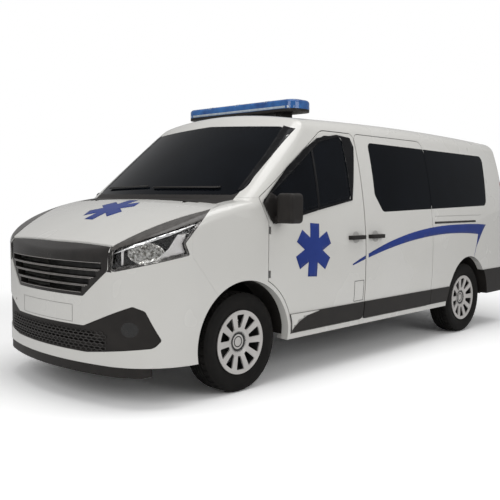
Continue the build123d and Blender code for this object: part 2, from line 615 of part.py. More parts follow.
BONNET_PIN_X = SCUTTLE_FRONT_X + 2 * BONNET_REAR_GAP
BONNET_PIN_Z = bonnet_height(BONNET_PIN_X, BONNET_PIN_Y) - BONNET_PIN_DROP
pin_span = (BONNET_PIN_Y - PIN_L / 2, BONNET_PIN_Y + PIN_L / 2)
pin = across_cylinder(BONNET_PIN_X, BONNET_PIN_Z, PIN_R, *pin_span)
leaf = box_between(
    (SCUTTLE_FRONT_X, BONNET_PIN_X), pin_span, (BONNET_PIN_Z - LEAF_T / 2, BONNET_PIN_Z + LEAF_T / 2)
)
hinges += both_sides(pin + leaf)
notch = box_between(
    (0, BONNET_PIN_X + NOTCH), (pin_span[0] - SEAT_GAP, pin_span[1] + SEAT_GAP), (0, LENGTH)
)
for cut in both_sides(notch):
    bonnet = bonnet - cut
keep("bonnet", bonnet)

TAIL_PIN_Y = 300.0
TAIL_PIN_Z = TAILGATE_TOP_Z - 25
TAIL_PIN_X = tail_x(TAIL_PIN_Z) + 2 * PIN_R
pin_span = (TAIL_PIN_Y - PIN_L / 2, TAIL_PIN_Y + PIN_L / 2)
pin = across_cylinder(TAIL_PIN_X, TAIL_PIN_Z, PIN_R - 1, *pin_span)
leaf = box_between((TAIL_PIN_X - LEAF_T / 2, TAIL_PIN_X + LEAF_T / 2), pin_span, (TAIL_PIN_Z, TAILGATE_TOP_Z))
hinges += both_sides(pin + leaf)
notch = box_between(
    (-LENGTH, TAIL_PIN_X + NOTCH),
    (pin_span[0] - SEAT_GAP, pin_span[1] + SEAT_GAP),
    (TAIL_PIN_Z - NOTCH, LENGTH),
)
for cut in both_sides(notch):
    tailgate = tailgate - cut
keep("tailgate", tailgate)
keep("tailgate_glass", tailgate_glass)
keep("panel_hinges", *hinges)

# Wheel arch liners, and the floor with its front bulkhead and strut towers
FRONT_LINER_Y = 712.0
REAR_HOUSE_Y = 630.0
DASH_X = FRONT_AXLE_X - 90
DASH_T = 20.0
DASH_HALF = 500.0
DASH_TOP_Z = 1200.0
ARCH_CLEAR_Z = 800.0
KINGPIN_TILT = 12.0
KINGPIN_INSET = 89.0
STRUT_TOP = 620.0
TOWER_T = 16.0
TOWER_R = 62.0


def liner(x, radius, y_in):
    """Half-round liner that closes an arch inside the outer wall."""
    ring = disc(x, AXLE_Z, radius + LINER_T) - disc(x, AXLE_Z, radius)
    ring = ring & (Pos(x, AXLE_Z + WIDTH / 2) * Rectangle(WIDTH, WIDTH))
    return side_prism(ring, y_in, HALF_WIDTH) & wall_inside


house_wall = disc(REAR_AXLE_X, AXLE_Z, REAR_ARCH_R + LINER_T)
house_wall = house_wall & (Pos(REAR_AXLE_X, FLOOR_Z - FLOOR_T + WIDTH / 2) * Rectangle(WIDTH, WIDTH))
rear_liner = liner(REAR_AXLE_X, REAR_ARCH_R, REAR_HOUSE_Y) + side_prism(house_wall, REAR_HOUSE_Y - LINER_T, REAR_HOUSE_Y)
front_liner = liner(FRONT_AXLE_X, FRONT_ARCH_R, FRONT_LINER_Y)
keep("wheel_arch_liners", *both_sides(front_liner), *both_sides(rear_liner))

floor = wall_inside & box_between((-LENGTH, DASH_X), (-WIDTH, WIDTH), (FLOOR_Z - FLOOR_T, FLOOR_Z))
wheel_space = across_cylinder(FRONT_AXLE_X, AXLE_Z, FRONT_ARCH_R + LINER_T + SEAM, DASH_HALF, WIDTH)
house_space = across_cylinder(REAR_AXLE_X, AXLE_Z, REAR_ARCH_R + LINER_T, REAR_HOUSE_Y - LINER_T, WIDTH)
for cut in both_sides(wheel_space) + both_sides(house_space) + both_sides(frame):
    floor = floor - cut
DASH_ROWS = [(DASH_HALF, FLOOR_Z - FLOOR_T, 0), (DASH_HALF, ARCH_CLEAR_Z, 0), (WIDTH, ARCH_CLEAR_Z, 0), (WIDTH, DASH_TOP_Z, 0)]
dash_panel = wall_inside & front_prism(outline(mirrored(DASH_ROWS)), DASH_X - DASH_T, DASH_X)
for cut in both_sides(frame):
    dash_panel = dash_panel - cut
kingpin = Vector(0, -math.sin(math.radians(KINGPIN_TILT)), math.cos(math.radians(KINGPIN_TILT)))
pivot = Vector(FRONT_AXLE_X, FRONT_TRACK / 2 - KINGPIN_INSET, AXLE_Z)
tower_at = pivot + kingpin * (STRUT_TOP - TOWER_T)
ROD_R = 10.0
tower = box_between(
    (DASH_X, tower_at.X + TOWER_R), (tower_at.Y - TOWER_R, tower_at.Y + TOWER_R), (tower_at.Z - TOWER_T / 2, tower_at.Z + TOWER_T / 2)
)


def along_kingpin(low, high, radius):
    """Cylinder on the left steering axis between two distances from the pivot."""
    plane = Plane(origin=pivot + kingpin * low, x_dir=(1, 0, 0), z_dir=kingpin)
    return extrude(plane * Circle(radius), high - low, dir=kingpin)


tower = tower - along_kingpin(0, LENGTH, ROD_R + SEAT_GAP)
floor = floor + dash_panel
FLOOR_RAIL_X = (-2150.0, 100.0)
FLOOR_RAIL_Y = (540.0, 580.0)
FLOOR_RAIL_H = 12.0
floor_rail = box_between(FLOOR_RAIL_X, FLOOR_RAIL_Y, (FLOOR_Z - 1, FLOOR_Z + FLOOR_RAIL_H))
for piece in both_sides(tower) + both_sides(floor_rail):
    floor = floor + piece
keep("floor_pan", floor)

# Front knuckles with their struts
UPRIGHT_R = 24.0
UPRIGHT_LOW = -135.0
UPRIGHT_HIGH = 130.0
STRUT_R = 26.0
STRUT_HIGH = 560.0
SPRING_R = 56.0
SPRING_SPAN = (372.0, 540.0)
HUB_FACE = -30.0
SHOULDER_R = 44.0
SPINDLE_END = 38.0
front_hub_y = FRONT_TRACK / 2
knuckle = along_kingpin(UPRIGHT_LOW, UPRIGHT_HIGH, UPRIGHT_R)
knuckle = knuckle + along_kingpin(UPRIGHT_HIGH - 30, STRUT_HIGH, STRUT_R) + along_kingpin(*SPRING_SPAN, SPRING_R)
knuckle = knuckle + along_kingpin(STRUT_HIGH - 1, STRUT_TOP, ROD_R)


def stub(x, hub_y, y_in):
    """Shoulder and spindle that carry a wheel, from y_in outwards."""
    shoulder = across_cylinder(x, AXLE_Z, SHOULDER_R, y_in, hub_y + HUB_FACE - SEAT_GAP)
    return shoulder + across_cylinder(x, AXLE_Z, SPINDLE_R, y_in, hub_y + SPINDLE_END)


knuckle = knuckle + stub(FRONT_AXLE_X, front_hub_y, pivot.Y - UPRIGHT_R)
keep("left_knuckle", knuckle)
keep("right_knuckle", mirror(knuckle, about=Plane.XZ))

# Subframe with lower arms, engine, rear axle, fuel tank and exhaust
RAIL_Y = (330.0, 400.0)
RAIL_X = (FRONT_AXLE_X - 640, FRONT_AXLE_X + 720)
RAIL_H = 80.0
RAIL_TOP_Z = FLOOR_Z - FLOOR_T
CROSS_HALF = 90.0
CROSS_LOW_Z = 176.0
ARM_HALF = 34.0
ARM_T = 26.0
foot = pivot + kingpin * UPRIGHT_LOW
rails = box_between(RAIL_X, RAIL_Y, (RAIL_TOP_Z - RAIL_H, RAIL_TOP_Z))
cross_x = (FRONT_AXLE_X - CROSS_HALF, FRONT_AXLE_X + CROSS_HALF)
cross = box_between(cross_x, (-RAIL_Y[1], RAIL_Y[1]), (CROSS_LOW_Z, RAIL_TOP_Z - RAIL_H))
boss_low = UPRIGHT_LOW - SEAT_GAP - ARM_T
boss = along_kingpin(boss_low, UPRIGHT_LOW - SEAT_GAP, UPRIGHT_R)
arm_z = foot.Z - ARM_T / 3
arm = box_between(
    (FRONT_AXLE_X - ARM_HALF, FRONT_AXLE_X + ARM_HALF), (0, foot.Y), (arm_z - ARM_T, arm_z)
)
arm = arm + boss
subframe = cross
for piece in both_sides(rails) + both_sides(arm):
    subframe = subframe + piece
keep("front_subframe", subframe)

ENGINE_X = (FRONT_AXLE_X + 130, FRONT_AXLE_X + 640)
ENGINE_Y = (-430.0, 400.0)
ENGINE_H = 500.0
engine = box_between(ENGINE_X, ENGINE_Y, (RAIL_TOP_Z, RAIL_TOP_Z + ENGINE_H))
keep("engine", fillet(engine.edges().filter_by(Axis.Y), 40))

BEAM_R = 44.0
BEAM_X = REAR_AXLE_X + 210
TRAIL_EYE_X = REAR_AXLE_X + 480
TRAIL_Y = 570.0
TRAIL_T = 60.0
EYE_R = 36.0
EYE_HALF = 48.0
eye_z = FLOOR_Z - FLOOR_T - EYE_R
rear_hub_y = REAR_TRACK / 2
trail = Polygon(
    (TRAIL_EYE_X, eye_z - EYE_R), (TRAIL_EYE_X, eye_z + EYE_R),
    (REAR_AXLE_X - SHOULDER_R, AXLE_Z + SHOULDER_R), (REAR_AXLE_X - SHOULDER_R, AXLE_Z - SHOULDER_R), align=None
)
arm = side_prism(trail, TRAIL_Y - TRAIL_T / 2, TRAIL_Y + TRAIL_T / 2)
arm = arm + across_cylinder(TRAIL_EYE_X, eye_z, EYE_R, TRAIL_Y - EYE_HALF, TRAIL_Y + EYE_HALF)
arm = arm + stub(REAR_AXLE_X, rear_hub_y, TRAIL_Y)
beam_z = (eye_z + AXLE_Z) / 2
rear_axle = across_cylinder(BEAM_X, beam_z, BEAM_R, -TRAIL_Y, TRAIL_Y)
for piece in both_sides(arm):
    rear_axle = rear_axle + piece
keep("rear_axle", rear_axle)

TANK_X = (-640.0, 160.0)
TANK_Y = (60.0, 620.0)
TANK_LOW_Z = 250.0
tank = box_between(TANK_X, TANK_Y, (TANK_LOW_Z, FLOOR_Z - FLOOR_T))
tank = fillet(tank.faces().sort_by(Axis.Z)[0].edges(), 45)
keep("fuel_tank", tank)

PIPE_R = 27.0
PIPE_Y = -230.0
PIPE_Z = 300.0
PIPE_X = (-2330.0, 1380.0)
SILENCER_X = (-1180.0, -560.0)
SILENCER_R = 95.0
HANGERS_X = (-1990.0, -870.0, 300.0, 1100.0)
pipe = Pos((PIPE_X[0] + PIPE_X[1]) / 2, PIPE_Y, PIPE_Z) * Rot(0, 90, 0) * Cylinder(PIPE_R, PIPE_X[1] - PIPE_X[0])
silencer = Pos((SILENCER_X[0] + SILENCER_X[1]) / 2, PIPE_Y, PIPE_Z) * Rot(0, 90, 0)
pipe = pipe + silencer * Cylinder(SILENCER_R, SILENCER_X[1] - SILENCER_X[0])
for x in HANGERS_X:
    pipe = pipe + box_between((x - 15, x + 15), (PIPE_Y - 4, PIPE_Y + 4), (PIPE_Z, FLOOR_Z - FLOOR_T))
pipe = pipe - (Pos(PIPE_X[0], PIPE_Y, PIPE_Z) * Rot(0, 90, 0) * Cylinder(PIPE_R - 3, 240))
keep("exhaust", pipe)

# Wheels: tyre profile rows are (radius, half-width)
TYRE_ROWS = [
    (RIM_R + 1, TYRE_W / 2 - 22),
    (RIM_R + 22, TYRE_W / 2 - 16),
    (RIM_R + 50, TYRE_W / 2 - 3),
    (TYRE_R - 58, TYRE_W / 2),
    (TYRE_R - 24, TYRE_W / 2 - 5),
    (TYRE_R - 6, TYRE_W / 2 - 18),
    (TYRE_R, TYRE_W / 2 - 42),
]
RIM_T = 12.0
RIM_HALF = TYRE_W / 2 - 10
FLANGE_R = RIM_R + 12
FLANGE_W = 7.0
HUB_R = 68.0
HUB_LIP = 46.0
BRAKE_R = 142.0
BRAKE_Y = (-24.0, -2.0)
SPOKES = 10
TRIM_ROWS = [(0, 62), (62, 66), (105, 80), (186, 91), (RIM_R - 1, 93), (RIM_R - 1, 84), (105, 68), (62, 52), (0, 48)]
WINDOW_R = (96.0, 186.0)
WINDOW_HALF = (12.0, 36.0)


def turned(rows):
    """Ring or disc turned about the wheel's axis, Y, from rows of (radius, y)."""
    face = Plane.XY * Polygon(*rows, align=None)
    return revolve(face, Axis.Y, 360)


tyre = turned(TYRE_ROWS + [(radius, -half) for radius, half in reversed(TYRE_ROWS)])
rim = turned([
    (RIM_R - RIM_T, -RIM_HALF), (FLANGE_R, -RIM_HALF), (FLANGE_R, FLANGE_W - RIM_HALF),
    (RIM_R, FLANGE_W - RIM_HALF), (RIM_R, RIM_HALF - FLANGE_W), (FLANGE_R, RIM_HALF - FLANGE_W),
    (FLANGE_R, RIM_HALF), (RIM_R - RIM_T, RIM_HALF),
])
hub = turned([
    (SPINDLE_R + RUNNING_FIT, HUB_FACE), (HUB_R, HUB_FACE), (HUB_R, BRAKE_Y[0]), (BRAKE_R, BRAKE_Y[0]),
    (BRAKE_R, BRAKE_Y[1]), (HUB_R, BRAKE_Y[1]), (HUB_R, 60), (0, 60), (0, HUB_LIP), (SPINDLE_R + RUNNING_FIT, HUB_LIP),
])
trim = turned(TRIM_ROWS)
window = Polygon(
    (WINDOW_R[0], -WINDOW_HALF[0]), (WINDOW_R[1], -WINDOW_HALF[1]),
    (WINDOW_R[1], WINDOW_HALF[1]), (WINDOW_R[0], WINDOW_HALF[0]), align=None
)
window = fillet(window.vertices(), 8)
for spoke in range(SPOKES):
    opening = side_prism(window, 0, TYRE_W)
    trim = trim - opening.rotate(Axis.Y, 360 * (spoke + 0.5) / SPOKES)
wheel = rim + hub + trim

for end, x, track in (("front", FRONT_AXLE_X, FRONT_TRACK), ("rear", REAR_AXLE_X, REAR_TRACK)):
    for hand, flip in (("left", False), ("right", True)):
        for piece, solid in (("tyre", tyre), ("wheel", wheel)):
            placed = Pos(x, track / 2, AXLE_Z) * solid
            keep(end + "_" + hand + "_" + piece, mirror(placed, about=Plane.XZ) if flip else placed)

# Cab: bulkhead, dashboard with steering column, steering wheel and seats
BULKHEAD_T = 24.0
BULKHEAD_WINDOW = [(-300, 1290, 40), (300, 1290, 40), (300, 1560, 40), (-300, 1560, 40)]
bulkhead = frame_inside & box_between((DOOR_REAR_X - BULKHEAD_T / 2, DOOR_REAR_X + BULKHEAD_T / 2), (-WIDTH, WIDTH), (FLOOR_Z, LENGTH))
bulkhead = bulkhead - front_prism(outline(BULKHEAD_WINDOW), 0, DOOR_FRONT_X)
keep("bulkhead", bulkhead)

DASHBOARD_HALF = 780.0
DASHBOARD = [(DASH_X - DASH_T, 850, 0), (DASH_X - DASH_T, 1190, 0), (1250, 1182, 30), (1085, 1120, 40), (1060, 1000, 40), (1180, 830, 40)]
WHEEL_AT = Vector(985, 400, 1085)
WHEEL_RAKE = 35.0
RING_R = 182.0
RING_T = 15.0
COLUMN_R = 32.0
BOSS_R = 62.0
BOSS_T = 46.0
column_dir = Vector(-math.cos(math.radians(WHEEL_RAKE)), 0, math.sin(math.radians(WHEEL_RAKE)))
dashboard = side_prism(outline(DASHBOARD), -DASHBOARD_HALF, DASHBOARD_HALF)
column_plane = Plane(origin=WHEEL_AT - column_dir * (BOSS_T / 2 + SEAT_GAP), x_dir=(0, 1, 0), z_dir=column_dir)
dashboard = dashboard + extrude(column_plane * Circle(COLUMN_R), 200, dir=column_dir * -1)
keep("dashboard", dashboard)
ring_plane = Plane(origin=WHEEL_AT, x_dir=(0, 1, 0), z_dir=column_dir)
steering_wheel = ring_plane * (Torus(RING_R, RING_T) + Cylinder(BOSS_R, BOSS_T))
for turn in (0, 180, 270):
    spoke = Rot(0, 0, turn) * box_between((BOSS_R - 10, RING_R), (-17, 17), (-8, 8))
    steering_wheel = steering_wheel + ring_plane * spoke
keep("steering_wheel", steering_wheel)

SEAT_X = (470.0, 960.0)
SEAT_BASE_Z = 700.0
CUSHION_T = 150.0
BACK_T = 130.0
BACK_TOP_Z = 1480.0
BACK_REAR_TOP_X = 290.0
SEATS = [(430.0, 250.0), (-330.0, 430.0)]
seat_rows = [
    (SEAT_X[0], SEAT_BASE_Z, 0), (SEAT_X[1], SEAT_BASE_Z, 40), (SEAT_X[1], SEAT_BASE_Z + CUSHION_T, 40),
    (SEAT_X[0] + BACK_T, SEAT_BASE_Z + CUSHION_T, 30), (BACK_REAR_TOP_X + BACK_T * 0.8, BACK_TOP_Z, 30),
    (BACK_REAR_TOP_X, BACK_TOP_Z, 30),
]
seats = []
bases = []
for y, half in SEATS:
    seats.append(side_prism(outline(seat_rows), y - half, y + half))
    bases.append(box_between((SEAT_X[0] + 40, SEAT_X[1] - 60), (y - half + 40, y + half - 40), (FLOOR_Z, SEAT_BASE_Z)))
keep("front_seats", *seats)
keep("seat_bases", *bases)

# Stretcher on the load floor
COT_X = (-2140.0, -240.0)
COT_Y = (-330.0, 230.0)
COT_Z = (FLOOR_Z + 260, FLOOR_Z + 310)
MATTRESS_T = 70.0
COT_LEG = 40.0
cot = box_between(COT_X, COT_Y, COT_Z)
for x in (COT_X[0] + 250, COT_X[1] - 250):
    for y in (COT_Y[0] + 40, COT_Y[1] - 40):
        cot = cot + box_between((x - COT_LEG / 2, x + COT_LEG / 2), (y - COT_LEG / 2, y + COT_LEG / 2), (FLOOR_Z, COT_Z[0]))
keep("stretcher", cot)
mattress = box_between((COT_X[0] + 20, COT_X[1] - 20), (COT_Y[0] + 20, COT_Y[1] - 20), (COT_Z[1], COT_Z[1] + MATTRESS_T))
keep("stretcher_mattress", fillet(mattress.edges().filter_by(Axis.Z), 60))

# Light bar on the roof
BAR_X = 600.0
BAR_LENGTH = 250.0
BAR_HALF = 620.0
BAR_LIFT = 34.0
BAR_H = 72.0
FOOT_Y = (380.0, 450.0)
BAR_CENTRE_Z = ROOF_Z - (BAR_X - ROOF_CREST_X) ** 2 / (2 * ROOF_LENGTH_R)
tray_z = (BAR_CENTRE_Z + BAR_LIFT - 20, BAR_CENTRE_Z + BAR_LIFT)
bar_x = (BAR_X - BAR_LENGTH / 2, BAR_X + BAR_LENGTH / 2)
tray = box_between(bar_x, (-BAR_HALF, BAR_HALF), tray_z)
tray = fillet(tray.edges().filter_by(Axis.Z), 90)
foot = box_between((BAR_X - 60, BAR_X + 60), FOOT_Y, (BAR_CENTRE_Z - 100, tray_z[1])) - skin
for piece in both_sides(foot):
    tray = tray + piece
keep("light_bar_base", tray)
lens = box_between(bar_x, (-BAR_HALF, BAR_HALF), (tray_z[1], tray_z[1] + BAR_H))
lens = fillet(lens.edges().filter_by(Axis.Z), 90)
lens = fillet(lens.faces().sort_by(Axis.Z)[-1].edges(), 26)
keep("light_bar_lens", lens)

os.makedirs("parts", exist_ok=True)
for name, solids in nodes.items():
    export_step(solids[0] if len(solids) == 1 else Compound(children=solids), "parts/" + name + ".step")
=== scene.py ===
import math

import bmesh
import bpy
from mathutils import Matrix, Vector
from mathutils.bvhtree import BVHTree


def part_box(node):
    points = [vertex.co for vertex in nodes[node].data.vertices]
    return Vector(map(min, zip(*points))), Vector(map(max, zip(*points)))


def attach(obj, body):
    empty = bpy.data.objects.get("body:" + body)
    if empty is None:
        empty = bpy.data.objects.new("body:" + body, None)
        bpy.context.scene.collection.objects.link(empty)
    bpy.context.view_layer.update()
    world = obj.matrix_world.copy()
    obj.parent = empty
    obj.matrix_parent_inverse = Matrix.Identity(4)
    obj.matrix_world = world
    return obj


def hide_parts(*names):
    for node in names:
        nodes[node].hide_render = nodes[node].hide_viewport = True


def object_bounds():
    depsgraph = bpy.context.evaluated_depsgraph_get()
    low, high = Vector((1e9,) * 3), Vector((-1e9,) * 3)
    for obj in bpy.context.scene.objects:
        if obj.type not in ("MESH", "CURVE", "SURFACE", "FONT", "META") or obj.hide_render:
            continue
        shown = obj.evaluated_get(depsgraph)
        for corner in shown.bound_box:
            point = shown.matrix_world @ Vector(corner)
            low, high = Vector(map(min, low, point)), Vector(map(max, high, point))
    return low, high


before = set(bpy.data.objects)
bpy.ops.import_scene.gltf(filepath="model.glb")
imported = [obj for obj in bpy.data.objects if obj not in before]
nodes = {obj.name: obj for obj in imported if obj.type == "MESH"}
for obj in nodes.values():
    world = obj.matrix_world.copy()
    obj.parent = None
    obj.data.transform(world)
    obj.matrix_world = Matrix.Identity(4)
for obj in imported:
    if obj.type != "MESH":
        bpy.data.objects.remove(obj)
cad_low, cad_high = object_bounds()


# Body panels: pressed steel welded into one shell, with bolted-on wings, doors, bonnet and tailgate.
# All of it, and the plastic front bumper, is sprayed warm white under a clear coat.
PATCH_DETAIL = 3.0
PATCH_EDGES = (0.3, 0.7)
GRAIN_DETAIL = 2.0
GRAIN_STRENGTH = 0.5
FOLD_SAMPLES = 4


def blotched(name, dark, light, patch, rough, grain=0.0, relief=0.0, fold=0.0, sockets=None):
    """Finish whose colour and roughness drift in patches, with a fine grain and softened folds."""
    material = bpy.data.materials.new(name)
    material.use_nodes = True
    tree = material.node_tree
    shader = tree.nodes["Principled BSDF"]
    place = tree.nodes.new("ShaderNodeTexCoord")
    cloud = tree.nodes.new("ShaderNodeTexNoise")
    cloud.inputs["Scale"].default_value = patch
    cloud.inputs["Detail"].default_value = PATCH_DETAIL
    tint = tree.nodes.new("ShaderNodeValToRGB")
    for end, edge, colour in zip(tint.color_ramp.elements, PATCH_EDGES, (dark, light)):
        end.position = edge
        end.color = (*colour, 1)
    polish = tree.nodes.new("ShaderNodeMapRange")
    polish.inputs["To Min"].default_value = rough[0]
    polish.inputs["To Max"].default_value = rough[1]
    tree.links.new(place.outputs["Object"], cloud.inputs["Vector"])
    tree.links.new(cloud.outputs["Fac"], tint.inputs["Fac"])
    tree.links.new(cloud.outputs["Fac"], polish.inputs["Value"])
    tree.links.new(tint.outputs["Color"], shader.inputs["Base Color"])
    tree.links.new(polish.outputs["Result"], shader.inputs["Roughness"])
    if grain:
        pores = tree.nodes.new("ShaderNodeTexNoise")
        pores.inputs["Scale"].default_value = grain
        pores.inputs["Detail"].default_value = GRAIN_DETAIL
        bump = tree.nodes.new("ShaderNodeBump")
        bump.inputs["Strength"].default_value = GRAIN_STRENGTH
        bump.inputs["Distance"].default_value = relief
        tree.links.new(place.outputs["Object"], pores.inputs["Vector"])
        tree.links.new(pores.outputs["Fac"], bump.inputs["Height"])
        tree.links.new(bump.outputs["Normal"], shader.inputs["Normal"])
        if fold:
            softened = tree.nodes.new("ShaderNodeBevel")
            softened.samples = FOLD_SAMPLES
            softened.inputs["Radius"].default_value = fold
            tree.links.new(softened.outputs["Normal"], bump.inputs["Normal"])
    for socket, value in (sockets or {}).items():
        shader.inputs[socket].default_value = value
    return material


def coat(material, *names):
    """Give CAD pieces one finish all over."""
    for name in names:
        nodes[name].data.materials.clear()
        nodes[name].data.materials.append(material)


white_paint = blotched(
    "white_paint", (0.70, 0.69, 0.655), (0.73, 0.72, 0.69),
    patch=1.7, rough=(0.24, 0.3), grain=320, relief=0.00012, fold=0.004,
    sockets={"Coat Weight": 0.7, "Coat Roughness": 0.04},
)
OUTER_PANELS = (
    "roof_panel", "left_body_side", "right_body_side", "front_wings", "front_bumper", "sliding_doors",
    "driver_door", "passenger_door", "bonnet", "tailgate", "door_frames",
)
coat(white_paint, *OUTER_PANELS)


# Inner linings: pale moulded panels clipped over the insides of the doors, sides, roof and tailgate.
# They are through-coloured plastic with a fine leather grain.
def part_coat(material, name, chosen):
    """Give the chosen faces of a CAD piece a second finish."""
    mesh = nodes[name].data
    mesh.materials.append(material)
    for face in mesh.polygons:
        if chosen(face):
            face.material_index = 1


lining_plastic = blotched(
    "lining_plastic", (0.30, 0.31, 0.32), (0.34, 0.345, 0.35),
    patch=6, rough=(0.5, 0.6), grain=700, relief=0.0002,
)
INWARD = 0.45
LINED = {
    "left_body_side": (0, -1, 0), "right_body_side": (0, 1, 0), "driver_door": (0, -1, 0),
    "passenger_door": (0, 1, 0), "roof_panel": (0, 0, -1), "tailgate": (1, 0, 0), "bonnet": (-0.4, 0, -1),
}
for name, inwards in LINED.items():
    inner = Vector(inwards).normalized()
    part_coat(lining_plastic, name, lambda face: face.normal.dot(inner) > INWARD)


def faces_cabin(face):
    """Whether a face of either sliding door looks towards the middle of the van."""
    return face.normal.y * face.center.y < 0 and abs(face.normal.y) > INWARD


part_coat(lining_plastic, "sliding_doors", faces_cabin)


# Blue markings: cut vinyl film pressed onto the paint, a six-armed cross on each door and the bonnet
# and a swept stripe along each side that ends in a hook above the rear wheel.
# Each film is drawn flat, dropped onto its panel along a view and given its thickness.
FAR = 4.0
DEEPEST_HIT = 3.3
SHALLOW = 0.3
FILM = 0.0005
FILM_LIFT = 0.0011
FILM_PITCH = 0.04
SIDE_VIEW = ((1, 0, 0), (0, 0, 1), (0, -1, 0))
TOP_VIEW = ((1, 0, 0), (0, 1, 0), (0, 0, -1))
FRONT_VIEW = ((0, 1, 0), (0, 0, 1), (-1, 0, 0))


def surface_of(*names):
    """Search tree over CAD panels, for laying thin pieces on them."""
    points, corners = [], []
    for name in names:
        mesh = nodes[name].data
        first = len(points)
        points.extend(vertex.co.copy() for vertex in mesh.vertices)
        corners.extend([first + corner for corner in face.vertices] for face in mesh.polygons)
    return BVHTree.FromPolygons(points, corners)


def flat(*outlines):
    """Flat sheet with one face inside each outline."""
    shape = bmesh.new()
    for outline in outlines:
        shape.faces.new([shape.verts.new((across, up, 0)) for across, up in outline])
    return shape


def lay(shape, view, panel, lift=FILM_LIFT, thick=FILM, pitch=FILM_PITCH, deepest=DEEPEST_HIT):
    """Cut a flat sheet into small faces, drop it onto a panel along the view and give it thickness."""
    across, up, ray = (Vector(way).normalized() for way in view)
    bmesh.ops.triangulate(shape, faces=shape.faces[:])
    for way in (Vector((1, 0, 0)), Vector((0, 1, 0))):
        reach = [vert.co.dot(way) for vert in shape.verts]
        for step in range(math.ceil(min(reach) / pitch), math.floor(max(reach) / pitch) + 1):
            everything = shape.verts[:] + shape.edges[:] + shape.faces[:]
            bmesh.ops.bisect_plane(shape, geom=everything, plane_co=way * step * pitch, plane_no=way)
    # A point that misses the panel goes to the panel's nearest point at the depth of the last hit.
    depth = deepest - SHALLOW
    for vert in shape.verts:
        start = across * vert.co.x + up * vert.co.y - ray * FAR
        hit = panel.ray_cast(start, ray, deepest)[0]
        if hit is None:
            hit = panel.find_nearest(start + ray * depth)[0]
        depth = (hit - start).dot(ray)
        vert.co = hit - ray * lift
    bmesh.ops.recalc_face_normals(shape, faces=shape.faces[:])
    grown = bmesh.ops.extrude_face_region(shape, geom=shape.faces[:])["geom"]
    outer = [part for part in grown if isinstance(part, bmesh.types.BMVert)]
    bmesh.ops.translate(shape, verts=outer, vec=-ray * thick)
    bmesh.ops.recalc_face_normals(shape, faces=shape.faces[:])
    for face in shape.faces:
        face.smooth = True
    return shape


def add_piece(name, shape, material, body):
    """Turn a bmesh into a finished piece that moves with a body."""
    mesh = bpy.data.meshes.new(name)
    shape.to_mesh(mesh)
    shape.free()
    mesh.materials.append(material)
    made = bpy.data.objects.new(name, mesh)
    bpy.context.scene.collection.objects.link(made)
    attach(made, body)
    return made


def add_pair(name, shape, material, left_body, right_body):
    """Add a left-hand piece and its mirror image."""
    twin = shape.copy()
    bmesh.ops.scale(twin, vec=(1, -1, 1), verts=twin.verts)
    bmesh.ops.reverse_faces(twin, faces=twin.faces[:])
    add_piece("left_" + name, shape, material, left_body)
    add_piece("right_" + name, twin, material, right_body)


ARMS = 6
CROSS_SPAN = 0.386
CROSS_ARM = 0.102
DOOR_CROSS = (0.885, 0.925)
DOOR_CROSS_TURN = math.radians(34)
BONNET_CROSS = (1.962, 0)


def six_armed(place, turn):
    """Flat cross of six equal arms about a hexagon."""
    shape = bmesh.new()
    bmesh.ops.create_circle(shape, cap_ends=True, segments=ARMS, radius=CROSS_ARM)
    for edge in shape.edges[:]:
        side = (edge.verts[0].co + edge.verts[1].co) / 2
        grown = bmesh.ops.extrude_edge_only(shape, edges=[edge])["geom"]
        tips = [part for part in grown if isinstance(part, bmesh.types.BMVert)]
        bmesh.ops.translate(shape, verts=tips, vec=side.normalized() * (CROSS_SPAN / 2 - side.length))
    turned = Matrix.Translation((*place, 0)) @ Matrix.Rotation(turn, 4, "Z")
    bmesh.ops.transform(shape, matrix=turned, verts=shape.verts)
    return shape


blue_film = blotched(
    "blue_film", (0.018, 0.040, 0.21), (0.024, 0.052, 0.26),
    patch=5, rough=(0.3, 0.38), grain=260, relief=0.0001, sockets={"Specular IOR Level": 0.15},
)
door_panel = surface_of("driver_door", "driver_door_trim")
door_cross = lay(six_armed(DOOR_CROSS, DOOR_CROSS_TURN), SIDE_VIEW, door_panel)
add_pair("door_cross", door_cross, blue_film, "driver_door", "passenger_door")
bonnet_cross = lay(six_armed(BONNET_CROSS, 0), TOP_VIEW, surface_of("bonnet"))
add_piece("bonnet_cross", bonnet_cross, blue_film, "bonnet")

LOWER_CREST = (-1.15, 0.980)
LOWER_FALL = 0.0814
UPPER_CREST = (-1.35, 1.060)
UPPER_FALL = 0.0686
UPPER_POWER = 2.4
STRIPE_STEPS = 24
STRIPE_TIP = 0.41
DOOR_REAR = 0.243
SLIDE_FRONT = 0.236
STRIPE_END = -1.71
HOOK = (
    (-1.688, 0.868), (-1.647, 0.770), (-1.635, 0.730), (-1.678, 0.829), (-1.743, 0.907), (-1.802, 0.976),
    (-1.875, 1.045),
)


def stripe_low(x):
    """Height of the stripe's lower edge."""
    return LOWER_CREST[1] - LOWER_FALL * (x - LOWER_CREST[0]) ** 2


def stripe_high(x):
    """Height of the stripe's upper edge, which sweeps down faster towards the front."""
    return UPPER_CREST[1] - UPPER_FALL * abs(x - UPPER_CREST[0]) ** UPPER_POWER


def stripe(front, rear, hook=()):
    """Outline of a length of stripe, round its rear end by way of the hook's points."""
    stations = [front + (rear - front) * step / STRIPE_STEPS for step in range(STRIPE_STEPS + 1)]
    inside = [x for x in stations if stripe_low(x) < stripe_high(x)]
    lower = [(x, stripe_low(x)) for x in inside]
    upper = [(x, stripe_high(x)) for x in reversed(inside)]
    return lower + list(hook) + upper


